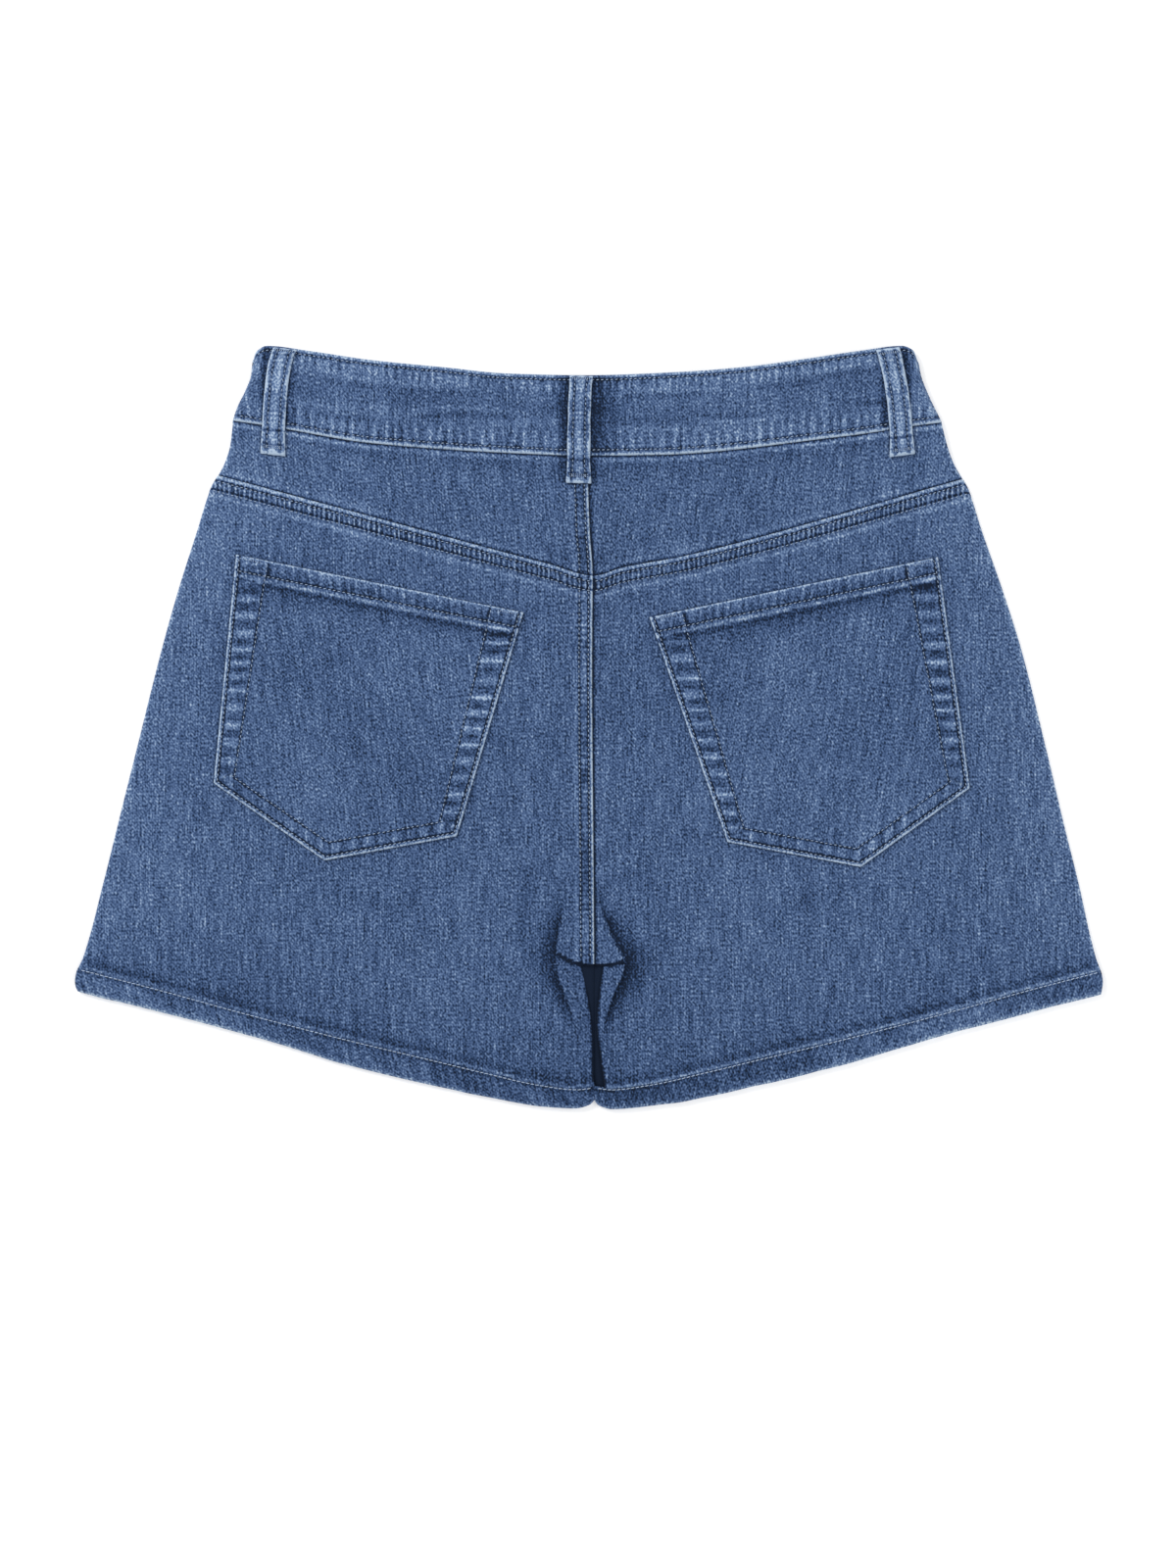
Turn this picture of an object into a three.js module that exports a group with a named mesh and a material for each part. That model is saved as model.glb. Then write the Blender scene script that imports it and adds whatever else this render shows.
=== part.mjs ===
// Denim shorts laid flat with the back side up. Millimetres, +Z up, the waist towards +Y.
// The wearer's left leg lies at -X. The lower faces of the front panels rest at z = 0.
import * as THREE from 'three';

// Cloth and seams
const CLOTH = 1.2; // one layer of denim
const GAP = 0.3; // clearance between pieces
const BAND = 2.6; // waistband, two layers and its turned edges
const HEM = 2.4; // hem, turned twice
const FELL_WIDTH = 8.6; // felled seam, from its folded edge to its second row
const FELL_RISE = 0.8;
const SIDE_ROUND = 3; // how far in from a side seam the cloth rolls over
const SIDE_DROP = 0.7;

// How the layers lie
const PUFF = 1.2; // air between the front and the back of a leg
const PUFF_REACH = 24; // how far in from the side seam it takes to build up
const HEM_REACH = 32; // above this distance the hem no longer lifts the legs
const BAND_REACH = 45; // the same below the waistband
const UNDER_HEM = 0.6; // how far the fronts rise to meet the middle of the hem
const UNDER_BAND = 0.7; // and of the waistband
const AIR_AT_HEM = 1.1;
const AIR_AT_BAND = 0.4;
// The waist stands on the front belt loops, and higher on the button
const WAIST_LIFT = {
  loops: 2.3,
  button: 1.8,
  buttonReach: 58,
  fromY: 50,
  fullY: 122,
  middleX: 112,
  endX: 186,
};
// Room that the zip takes
const FLY = { rise: 2.6, reach: 46, fromY: -20, fullY: 40, easeY: 118, endY: 150 };
// Rounded edges of the doubled strips: how far each face falls at the very edge
const RIM = { fold: 0.9, end: 0.8, seam: 0.3, underFold: 0.7, underEnd: 0.5 };

// Centre front, button, zip
const FRONT_EDGE_X = 3;
const BUTTON = { x: -11, y: 154, radius: 8.5, thickness: 3.6, shank: 4.2 };
const ZIP = { x: -8, width: 26, top: 124, bottom: 30, tape: 0.7, chainWidth: 5, teeth: 0.8, chainTop: 102 };
const ZIP_AIR = 0.15; // further clearance, as the fronts curve under the tape
const SLIDER = { width: 7, tail: 5.2, length: 10, y: 109, thickness: 1.6 };
const FRONT_BAND = { topY: 176, seamY: 131, topRise: 30, seamRise: 40, endX: 187, seamEndX: 199 };

// Outline of the side seams, seen from above
const SIDES = [
  { y: 206, left: -188.5, right: 184.5 },
  { y: 198, left: -189.3, right: 186 },
  { y: 189, left: -192.6, right: 189.3 },
  { y: 180, left: -197, right: 193.4 },
  { y: 171, left: -199.8, right: 197.8 },
  { y: 159, left: -201.3, right: 201 },
  { y: 149, left: -204.4, right: 204.6 },
  { y: 133, left: -213, right: 213.4 },
  { y: 111, left: -220, right: 220.6 },
  { y: 78, left: -230.5, right: 232.1 },
  { y: 45, left: -239.8, right: 242.6 },
  { y: -10, left: -253.6, right: 256.4 },
  { y: -54, left: -264.6, right: 266.8 },
  { y: -87, left: -272.8, right: 275 },
  { y: -129, left: -284, right: 284.6 },
  { y: -137, left: -287.4, right: 287.4 },
  { y: -143, left: -288.2, right: 288.2 },
  { y: -148, left: -287.2, right: 287.6 },
];

// Top edge and lower seam of the waistband's back
const BAND_TOP = [
  { x: -188.5, y: 206 },
  { x: -186.5, y: 211 },
  { x: -181, y: 214.1 },
  { x: -156, y: 211 },
  { x: -123, y: 206 },
  { x: -79, y: 201.6 },
  { x: -46, y: 198.3 },
  { x: -4, y: 197.2 },
  { x: 54, y: 199.4 },
  { x: 88, y: 202.1 },
  { x: 121, y: 206.5 },
  { x: 154, y: 211.5 },
  { x: 176, y: 214.1 },
  { x: 181.5, y: 212 },
  { x: 184.5, y: 206 },
];
const BAND_SEAM = [
  { x: -200, y: 172.6 },
  { x: -183, y: 170 },
  { x: -169, y: 167.6 },
  { x: -122, y: 159.8 },
  { x: -34, y: 153.7 },
  { x: -6, y: 152.6 },
  { x: 38, y: 153.2 },
  { x: 142, y: 163.6 },
  { x: 169, y: 167.5 },
  { x: 182, y: 169.6 },
  { x: 198, y: 171.6 },
];

// Folded edge of the yoke seam
const YOKE_SEAM = [
  { x: -210, y: 142.2 },
  { x: -23, y: 91.9 },
  { x: 2.6, y: 85.2 },
  { x: 19, y: 89.9 },
  { x: 54, y: 96.5 },
  { x: 211, y: 140 },
];

// Stitched line and lower edge of the hems, by distance out from the centre line
const CENTRE_X = 3;
const HEMS = [
  { out: 0, line: -201.4, leftEdge: -208.8, rightEdge: -209 },
  { out: 3, line: -202, leftEdge: -211.6, rightEdge: -212.2 },
  { out: 10, line: -202.6, leftEdge: -213.4, rightEdge: -214.2 },
  { out: 30, line: -200.2, leftEdge: -212.4, rightEdge: -212.6 },
  { out: 62, line: -193, leftEdge: -206.9, rightEdge: -207.6 },
  { out: 95, line: -185, leftEdge: -200, rightEdge: -200 },
  { out: 139, line: -174.5, leftEdge: -189.2, rightEdge: -189.4 },
  { out: 195, line: -160.2, leftEdge: -172.2, rightEdge: -173 },
  { out: 245, line: -146.4, leftEdge: -159.2, rightEdge: -159.8 },
  { out: 292, line: -134.2, leftEdge: -147.6, rightEdge: -147.8 },
];

// Seat seam's folded edge, then the gap between the legs under the crotch
const SEAT_SEAM = [
  { y: 153, x: -1 },
  { y: 111, x: 0.3 },
  { y: 85, x: 2 },
  { y: 34, x: 1.7 },
  { y: -76, x: 2.5 },
  { y: -133, x: 2.9 },
];
const LEG_GAP = [
  { y: -134, left: -4.4, right: 7.7 },
  { y: -151, left: -1.1, right: 5.8 },
  { y: -168, left: 1.1, right: 4.8 },
  { y: -183, left: 1.4, right: 5.6 },
  { y: -202, left: 2.4, right: 4 },
];
const CROTCH_Y = -132.6;
const CROTCH_STEP = 1.4;
// The inner thigh's shoulder narrows and fades from the crotch down to the hem
const THIGH = { roll: 1.1, ridge: 0.8, reach: 12, wide: 14, narrow: 6, wideY: -135, narrowY: -190 };
const THIGH_FADE = { share: 0.6, fromY: -165, toY: -198 };

// Back patch pockets, corner by corner
const POCKETS = {
  left: {
    topOuter: [-198, 97.1],
    topInner: [-36.9, 64.6],
    lowInner: [-74.3, -60.8],
    point: [-148.5, -74.5],
    lowOuter: [-210.7, -31.1],
  },
  right: {
    topOuter: [195.8, 95.7],
    topInner: [34.1, 61.9],
    lowInner: [77.8, -64.1],
    point: [152.6, -78.1],
    lowOuter: [213.7, -33.8],
  },
};
const TURN_EDGE = 0.4; // half the slope at the edge of a turned strip
const POCKET_TURN = { width: 10, rise: 0.6, topWidth: 15, topRise: 0.9, across: 150, down: 145 };

// Belt loops: centre of the top end, of the middle and of the bottom end
const LOOP = { width: 12.6, thickness: 1.9, fold: 8, foldRise: 0.9, endFlare: 1, frontLength: 58 };
const LOOP_STEP = { fromY: -9, toY: -2 }; // below the band's seam, where a loop comes down to the yoke
const BACK_LOOPS = [
  { name: 'loop_back_left', x0: -170.4, y0: 212.4, x1: -175.2, y1: 193, x2: -177.4, y2: 153.2 },
  { name: 'loop_back_centre', x0: -4.2, y0: 196.8, x1: -5.4, y1: 176, x2: -5.8, y2: 137 },
  { name: 'loop_back_right', x0: 167.6, y0: 212.5, x1: 173.2, y1: 186, x2: 175.8, y2: 152.8 },
];
const FRONT_LOOPS = [
  { name: 'loop_front_left', x: -95 },
  { name: 'loop_front_right', x: 101 },
];

// Largest soft folds of the back, each a ridge or trough from one end to the other
const FOLDS = [
  { x0: -22, y0: -118, x1: -34, y1: -170, width: 9, height: -0.9 },
  { x0: 25, y0: -120, x1: 33, y1: -172, width: 9, height: -1 },
  { x0: -40, y0: -95, x1: -120, y1: -120, width: 16, height: 0.9 },
  { x0: 44, y0: -96, x1: 118, y1: -124, width: 16, height: 0.9 },
  { x0: -232, y0: -60, x1: -170, y1: -130, width: 20, height: 0.7 },
  { x0: 236, y0: -40, x1: 190, y1: -126, width: 20, height: 0.7 },
];

const clamp = (value, low, high) => Math.min(Math.max(value, low), high);
const mix = (a, b, share) => a + (b - a) * share;

function smoothstep(from, to, value) {
  const t = clamp((value - from) / (to - from), 0, 1);
  return t * t * (3 - 2 * t);
}

// A soft hump, 1 in the middle and 0 from `reach` on
function hump(distance, reach) {
  const t = clamp(Math.abs(distance) / reach, 0, 1);
  return Math.cos((t * Math.PI) / 2) ** 2;
}

// A smooth line through the rows of a table, without overshoot between them
function lineThrough(rows, along, give) {
  const sorted = [...rows].sort((a, b) => a[along] - b[along]);
  const xs = sorted.map((row) => row[along]);
  const ys = sorted.map((row) => row[give]);
  const secants = xs.slice(1).map((x, i) => (ys[i + 1] - ys[i]) / (x - xs[i]));
  const slopes = xs.map((_, i) => {
    const before = secants[i - 1] ?? secants[i];
    const after = secants[i] ?? before;
    return before * after <= 0 ? 0 : (2 * before * after) / (before + after);
  });
  return (at) => {
    const x = clamp(at, xs[0], xs[xs.length - 1]);
    let i = 0;
    while (i < xs.length - 2 && x > xs[i + 1]) i += 1;
    const step = xs[i + 1] - xs[i];
    const t = (x - xs[i]) / step;
    const rise = ys[i] * (1 + 2 * t) * (1 - t) ** 2 + ys[i + 1] * t * t * (3 - 2 * t);
    return rise + step * (slopes[i] * t * (1 - t) ** 2 - slopes[i + 1] * t * t * (1 - t));
  };
}

const sideX = { left: lineThrough(SIDES, 'y', 'left'), right: lineThrough(SIDES, 'y', 'right') };
const bandTopY = lineThrough(BAND_TOP, 'x', 'y');
const bandSeamY = lineThrough(BAND_SEAM, 'x', 'y');
const yokeSeamY = lineThrough(YOKE_SEAM, 'x', 'y');
const seatSeamX = lineThrough(SEAT_SEAM, 'y', 'x');
const gapX = { left: lineThrough(LEG_GAP, 'y', 'left'), right: lineThrough(LEG_GAP, 'y', 'right') };
const hemLine = lineThrough(HEMS, 'out', 'line');
const hemEdge = {
  left: lineThrough(HEMS, 'out', 'leftEdge'),
  right: lineThrough(HEMS, 'out', 'rightEdge'),
};
const hemLineY = (x) => hemLine(Math.abs(x - CENTRE_X));
const hemEdgeY = (x, side) => hemEdge[side](Math.abs(x - CENTRE_X));
const frontBandTopY = (x) => FRONT_BAND.topY + FRONT_BAND.topRise * (x / FRONT_BAND.endX) ** 2;
const frontSeamY = (x) => FRONT_BAND.seamY + FRONT_BAND.seamRise * (x / FRONT_BAND.seamEndX) ** 2;

// Height of the waist above the floor, where it stands on the front loops and the button
function lift(x, y) {
  const { loops, button, buttonReach, fromY, fullY, middleX, endX } = WAIST_LIFT;
  const middle = 1 - smoothstep(middleX, endX, Math.abs(x));
  return smoothstep(fromY, fullY, y) * (loops * middle + button * hump(x - BUTTON.x, buttonReach));
}

const nearHem = (x, y) => 1 - smoothstep(0, HEM_REACH, y - hemLineY(x));
const nearFrontBand = (x, y) => 1 - smoothstep(2, BAND_REACH, frontSeamY(x) - y);

function frontLow(x, y) {
  return lift(x, y) + UNDER_HEM * nearHem(x, y) + UNDER_BAND * nearFrontBand(x, y);
}

// Distance in from the nearer side seam
function fromSide(x, y) {
  return Math.max(Math.min(x - sideX.left(y), sideX.right(y) - x), 0);
}

function foldHeight(x, y) {
  let height = 0;
  for (const fold of FOLDS) {
    const dx = fold.x1 - fold.x0;
    const dy = fold.y1 - fold.y0;
    const length = Math.hypot(dx, dy);
    const along = ((x - fold.x0) * dx + (y - fold.y0) * dy) / length;
    const across = Math.abs((x - fold.x0) * dy - (y - fold.y0) * dx) / length;
    const start = smoothstep(-fold.width, length / 3, along);
    const end = 1 - smoothstep(length * 0.6, length + fold.width, along);
    height += fold.height * start * end * hump(across, fold.width);
  }
  return height;
}

// Inner thigh: the cloth rolls down into the gap between the legs under the crotch
function thighRoll(x, y) {
  const side = x < CENTRE_X ? 'left' : 'right';
  const distance = Math.abs(x - gapX[side](y));
  const below = smoothstep(0, CROTCH_STEP, CROTCH_Y - y);
  const shoulder = mix(THIGH.wide, THIGH.narrow, smoothstep(-THIGH.wideY, -THIGH.narrowY, -y));
  const roll = -THIGH.roll * (1 - smoothstep(0, shoulder, distance));
  const ridge = THIGH.ridge * hump(distance - shoulder, THIGH.reach);
  const fade = 1 - THIGH_FADE.share * smoothstep(-THIGH_FADE.fromY, -THIGH_FADE.toY, -y);
  return below * fade * (roll + ridge);
}

// Underside of the back's cloth
function backLow(x, y) {
  const waist = nearFrontBand(x, y);
  const hem = nearHem(x, y);
  const below = mix(CLOTH + UNDER_HEM * hem, BAND, waist);
  const side = smoothstep(0, PUFF_REACH, fromSide(x, y));
  const thigh = thighRoll(x, y);
  const leg = mix((PUFF + foldHeight(x, y)) * side + thigh, AIR_AT_HEM + thigh / 2, hem);
  const overZip = smoothstep(FLY.fromY, FLY.fullY, y) * (1 - smoothstep(FLY.easeY, FLY.endY, y));
  const air = mix(leg, AIR_AT_BAND, waist) + FLY.rise * hump(x - ZIP.x, FLY.reach) * overZip;
  return lift(x, y) + below + GAP + Math.max(air, 0);
}

// 1 on a felled seam, from its folded edge to its second row of stitches
const onFell = (distance) => 1 - smoothstep(FELL_WIDTH - 1, FELL_WIDTH, distance);

function sideDrop(x, y) {
  const t = 1 - clamp(fromSide(x, y) / SIDE_ROUND, 0, 1);
  return SIDE_DROP * t * t;
}

function yokeHigh(x, y) {
  const seat = x < seatSeamX(y) ? onFell(seatSeamX(y) - x) : 0;
  return backLow(x, y) + CLOTH + FELL_RISE * seat - sideDrop(x, y);
}

function backHigh(x, y) {
  const yoke = onFell(yokeSeamY(x) - y);
  const seat = x < seatSeamX(y) && y > CROTCH_Y - CROTCH_STEP ? onFell(seatSeamX(y) - x) : 0;
  return backLow(x, y) + CLOTH + FELL_RISE * Math.max(yoke, seat) - sideDrop(x, y);
}

const bandLow = (x, y) => lift(x, y) + BAND + GAP;
const bandHigh = (x, y) => bandLow(x, y) + BAND;

// One material for each finish
const finishes = {
  denim: { color: 0x4b6389, roughness: 0.88, metalness: 0 },
  brass: { color: 0xa9885a, roughness: 0.38, metalness: 1 },
  tape: { color: 0x2f3d57, roughness: 0.8, metalness: 0 },
};

const group = new THREE.Group();

function addPiece(name, geometry, finish) {
  const mesh = new THREE.Mesh(geometry, new THREE.MeshStandardMaterial(finishes[finish]));
  mesh.name = name;
  group.add(mesh);
  return mesh;
}

// A closed sheet of cloth over a grid of shares (u, v). `place` gives x, y, low and high.
function sheet(name, us, vs, place, finish = 'denim') {
  const points = vs.map((v) => us.map((u) => place(u, v)));
  const columns = us.length;
  const rows = vs.length;
  const half = columns * rows;
  const positions = [];
  for (const face of ['high', 'low']) {
    for (const row of points) {
      for (const point of row) positions.push(point.x, point.y, point[face]);
    }
  }
  let area = 0;
  const index = [];
  const quad = (a, b, c, d) => index.push(a, b, c, a, c, d);
  for (let j = 0; j + 1 < rows; j += 1) {
    for (let i = 0; i + 1 < columns; i += 1) {
      const a = points[j][i];
      const b = points[j][i + 1];
      const c = points[j + 1][i + 1];
      area += (b.x - a.x) * (c.y - a.y) - (b.y - a.y) * (c.x - a.x);
      const at = j * columns + i;
      quad(at, at + 1, at + columns + 1, at + columns);
      quad(half + at, half + at + columns, half + at + columns + 1, half + at + 1);
    }
  }
  const rim = [];
  for (let i = 0; i < columns; i += 1) rim.push(i);
  for (let j = 1; j < rows; j += 1) rim.push(j * columns + columns - 1);
  for (let i = columns - 2; i >= 0; i -= 1) rim.push((rows - 1) * columns + i);
  for (let j = rows - 2; j > 0; j -= 1) rim.push(j * columns);
  rim.forEach((at, k) => {
    const next = rim[(k + 1) % rim.length];
    quad(at, at + half, next + half, next);
  });
  if (area < 0) index.reverse();
  const geometry = new THREE.BufferGeometry();
  geometry.setAttribute('position', new THREE.Float32BufferAttribute(positions, 3));
  geometry.setIndex(index);
  geometry.computeVertexNormals();
  return addPiece(name, geometry, finish);
}

// Evenly spaced shares from 0 to 1, with the extra ones given
function shares(count, ...extra) {
  const even = Array.from({ length: count + 1 }, (_, i) => i / count);
  const clear = (share) => extra.every((other) => Math.abs(other - share) > 0.35 / count);
  const kept = even.filter((share) => share === 0 || share === 1 || clear(share));
  return [...kept, ...extra].sort((a, b) => a - b);
}

// The patch between four edges, each a function of its share that gives [x, y]
function patch(top, bottom, outer, inner) {
  return (u, v) => {
    const blend = (k) => {
      const between = mix(top(u)[k], bottom(u)[k], v) + mix(outer(v)[k], inner(v)[k], u);
      return between - mix(mix(top(0)[k], top(1)[k], u), mix(bottom(0)[k], bottom(1)[k], u), v);
    };
    return [blend(0), blend(1)];
  };
}

// An edge along y = height(x) between two x values, and one along x = place(y) between two y values
const edgeOverX = (from, to, height) => (share) => {
  const x = mix(from, to, share);
  return [x, height(x)];
};
const edgeOverY = (from, to, place) => (share) => {
  const y = mix(from, to, share);
  return [place(y), y];
};

// Where a line y = height(x) meets the side seam
function meetSide(side, height) {
  let x = sideX[side](0);
  for (let i = 0; i < 30; i += 1) x = sideX[side](height(x));
  return [x, height(x)];
}

const SEAM = GAP / 2;

// Shares across a leg, the same in each of its panels so that they meet point to point
const LEG_SHARES = shares(12, 0.013, 0.955, 0.961, 0.968);

// A panel of one side: its outer edge is the side seam. `faces` gives its low and high faces.
function panel({ name, side, top, bottom, inner, faces, us, vs }) {
  const away = side === 'left' ? -SEAM : SEAM;
  const topY = (x) => top(x) - SEAM;
  const bottomY = (x) => bottom(x) + SEAM;
  const innerX = (y) => inner(y) + away;
  const [outerTopX, outerTopY] = meetSide(side, topY);
  const [outerLowX, outerLowY] = meetSide(side, bottomY);
  const innerTopX = innerX(topY(CENTRE_X));
  const innerLowX = innerX(bottomY(CENTRE_X));
  const at = patch(
    edgeOverX(outerTopX, innerTopX, topY),
    edgeOverX(outerLowX, innerLowX, bottomY),
    edgeOverY(outerTopY, outerLowY, sideX[side]),
    edgeOverY(topY(innerTopX), bottomY(innerLowX), innerX),
  );
  return sheet(name, us, vs, (u, v) => {
    const [x, y] = at(u, v);
    return { x, y, ...faces(x, y, u, v) };
  });
}

// Inner edge of a leg's back: the seat seam down to the crotch, then the gap between the legs
function backInner(side) {
  return (y) => mix(seatSeamX(y), gapX[side](y), smoothstep(0, CROTCH_STEP, CROTCH_Y - y));
}

function addFrontPanel(side) {
  panel({
    name: `front_${side}`,
    side,
    top: frontSeamY,
    bottom: hemLineY,
    inner: () => FRONT_EDGE_X,
    faces: (x, y) => ({ low: frontLow(x, y) + sideDrop(x, y), high: frontLow(x, y) + CLOTH }),
    us: LEG_SHARES,
    vs: shares(9, 0.04),
  });
}

function addBackPanel(side) {
  panel({
    name: `back_${side}`,
    side,
    top: yokeSeamY,
    bottom: hemLineY,
    inner: backInner(side),
    faces: (x, y) => ({ low: backLow(x, y), high: backHigh(x, y) }),
    us: LEG_SHARES,
    vs: shares(15, 0.033, 0.037, 0.764, 0.7705),
  });
}

function addYoke(side) {
  panel({
    name: `yoke_${side}`,
    side,
    top: bandSeamY,
    bottom: yokeSeamY,
    inner: seatSeamX,
    faces: (x, y) => ({ low: backLow(x, y), high: yokeHigh(x, y) }),
    us: LEG_SHARES,
    vs: shares(5),
  });
}

// How far a rounded strip falls at its ends (u) and along its two long edges (v)
function rimFall(u, v, ends, first, last) {
  const atEnd = u === 0 || u === 1 ? ends : 0;
  const atEdge = (v === 0 ? first : 0) + (v === 1 ? last : 0);
  return Math.max(atEnd, atEdge);
}

function addHems(side) {
  const shape = {
    side,
    top: hemLineY,
    bottom: (x) => hemEdgeY(x, side) - SEAM,
    inner: () => CENTRE_X,
    us: LEG_SHARES,
  };
  panel({
    ...shape,
    name: `hem_${side}_front`,
    vs: [0, 0.5, 0.9, 1],
    faces: (x, y, u, v) => ({ low: rimFall(u, v, RIM.underEnd, 0, RIM.underFold), high: HEM }),
  });
  const low = HEM + GAP;
  panel({
    ...shape,
    name: `hem_${side}_back`,
    vs: [0, 0.1, 0.5, 0.9, 1],
    faces: (x, y, u, v) => ({ low, high: low + HEM - rimFall(u, v, RIM.end, RIM.seam, RIM.fold) }),
  });
}

// One strip of the waistband between two places on its top edge
function addBand({ name, fromX, toX, seamFromX, seamToX, topY, seamY, us, faces }) {
  const lowerY = (x) => seamY(x) + SEAM;
  const end = (x, seamX) => (share) => {
    const y = mix(topY(x), lowerY(seamX), share);
    const side = Math.abs(x - FRONT_EDGE_X) < 1 ? () => x : sideX[x < 0 ? 'left' : 'right'];
    return [side(y), y];
  };
  const at = patch(
    edgeOverX(fromX, toX, topY),
    edgeOverX(seamFromX, seamToX, lowerY),
    end(fromX, seamFromX),
    end(toX, seamToX),
  );
  return sheet(name, us, [0, 0.06, 0.35, 0.65, 1], (u, v) => {
    const [x, y] = at(u, v);
    return { x, y, ...faces(x, y, u, v) };
  });
}

function addWaistband() {
  const [topLeft, topRight] = [BAND_TOP[0].x, BAND_TOP[BAND_TOP.length - 1].x];
  const [seamLeft, seamRight] = [meetSide('left', bandSeamY)[0], meetSide('right', bandSeamY)[0]];
  addBand({
    name: 'waistband_back',
    fromX: topLeft,
    toX: topRight,
    seamFromX: seamLeft,
    seamToX: seamRight,
    topY: bandTopY,
    seamY: bandSeamY,
    us: shares(34, 0.0055, 0.02, 0.98, 0.992),
    faces: (x, y, u, v) => ({
      low: bandLow(x, y),
      high: bandHigh(x, y) - rimFall(u, v, RIM.end, RIM.fold, RIM.seam),
    }),
  });
  const faces = (x, y, u, v) => ({
    low: lift(x, y) + rimFall(u, v, RIM.underEnd, RIM.underFold, 0),
    high: lift(x, y) + BAND,
  });
  const front = { topY: frontBandTopY, seamY: frontSeamY, us: shares(17, 0.02), faces };
  const [endLeft, endRight] = [FRONT_EDGE_X - SEAM, FRONT_EDGE_X + SEAM];
  addBand({
    ...front,
    name: 'waistband_front_left',
    fromX: topLeft,
    toX: endLeft,
    seamFromX: meetSide('left', frontSeamY)[0],
    seamToX: endLeft,
  });
  addBand({
    ...front,
    name: 'waistband_front_right',
    fromX: topRight,
    toX: endRight,
    seamFromX: meetSide('right', frontSeamY)[0],
    seamToX: endRight,
  });
}

// 1 within `width` of an edge that is `share` of `length` away
const onTurn = (share, length, width) => {
  return 1 - smoothstep(width - TURN_EDGE, width + TURN_EDGE, share * length);
};

// Shares just before and just after the edge of a turned strip
const turnShares = (width, length) => [(width - TURN_EDGE) / length, (width + TURN_EDGE) / length];
const fromEnd = (values) => values.map((share) => 1 - share);

function addPocket(side) {
  const corners = POCKETS[side];
  const { width, rise, topWidth, topRise, across, down } = POCKET_TURN;
  const line = (a, b) => (share) => [mix(a[0], b[0], share), mix(a[1], b[1], share)];
  const lowOuter = line(corners.lowOuter, corners.point);
  const lowInner = line(corners.point, corners.lowInner);
  const at = patch(
    line(corners.topOuter, corners.topInner),
    (share) => (share < 0.5 ? lowOuter(share * 2) : lowInner(share * 2 - 1)),
    line(corners.topOuter, corners.lowOuter),
    line(corners.topInner, corners.lowInner),
  );
  const sideTurn = turnShares(width, across);
  const us = shares(10, ...sideTurn, ...fromEnd(sideTurn));
  const vs = shares(10, ...turnShares(topWidth, down), ...fromEnd(turnShares(width, down)));
  sheet(`pocket_${side}`, us, vs, (u, v) => {
    const [x, y] = at(u, v);
    const sides = Math.max(onTurn(u, across, width), onTurn(1 - u, across, width));
    const edge = rise * Math.max(sides, onTurn(1 - v, down, width));
    const turned = Math.max(edge, topRise * onTurn(v, down, topWidth));
    const low = backHigh(x, y) + GAP;
    return { x, y, low, high: low + CLOTH + turned };
  });
}

// A back loop follows the band, then steps down to the yoke; its ends are folded under
function addBackLoop({ name, x0, y0, x1, y1, x2, y2 }) {
  const length = Math.hypot(x2 - x0, y2 - y0);
  const overFell = name === 'loop_back_centre' ? FELL_RISE : 0;
  const through = (a, b, c, t) => a * (1 - t) * (1 - 2 * t) + 4 * b * t * (1 - t) + c * t * (2 * t - 1);
  const foldShares = turnShares(LOOP.fold, length);
  const vs = shares(10, ...foldShares, ...fromEnd(foldShares));
  const lean = (x2 - x0) / length;
  sheet(name, [0, 0.12, 0.5, 0.88, 1], vs, (u, v) => {
    const centreX = through(x0, x1, x2, v);
    const centreY = through(y0, y1, y2, v);
    const across = (u - 0.5) * (LOOP.width + LOOP.endFlare * smoothstep(0.8, 1, v));
    const x = centreX + across;
    const y = centreY + across * lean;
    const onBand = smoothstep(LOOP_STEP.fromY, LOOP_STEP.toY, y - bandSeamY(x));
    const under = mix(backLow(x, y) + CLOTH + overFell, bandHigh(x, y), onBand);
    const fold = Math.max(onTurn(v, length, LOOP.fold), onTurn(1 - v, length, LOOP.fold));
    const low = under + GAP;
    const rim = rimFall(u, v, RIM.underEnd, RIM.underFold, RIM.underFold);
    return { x, y, low, high: low + LOOP.thickness + LOOP.foldRise * fold - rim };
  });
}

function addFrontLoop({ name, x: middle }) {
  sheet(name, [0, 0.5, 1], shares(5), (u, v) => {
    const x = middle + (u - 0.5) * LOOP.width;
    return { x, y: frontBandTopY(middle) - v * LOOP.frontLength, low: 0, high: LOOP.thickness };
  });
}

// Waist button, its face to the floor: a turned cap with a shank under the band
function addButton() {
  const { x, y, radius, shank, thickness } = BUTTON;
  const profile = [
    [0, 0.5],
    [radius * 0.62, 0.5],
    [radius * 0.7, 0],
    [radius * 0.9, 0],
    [radius, 0.5],
    [radius, 1.6],
    [radius * 0.9, 2.1],
    [shank, 2.2],
    [shank, thickness],
    [0, thickness],
  ];
  const geometry = new THREE.LatheGeometry(profile.map(([r, z]) => new THREE.Vector2(r, z)), 24);
  geometry.rotateX(Math.PI / 2);
  addPiece('button_waist', geometry, 'brass').position.set(x, y, 0);
}

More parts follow.
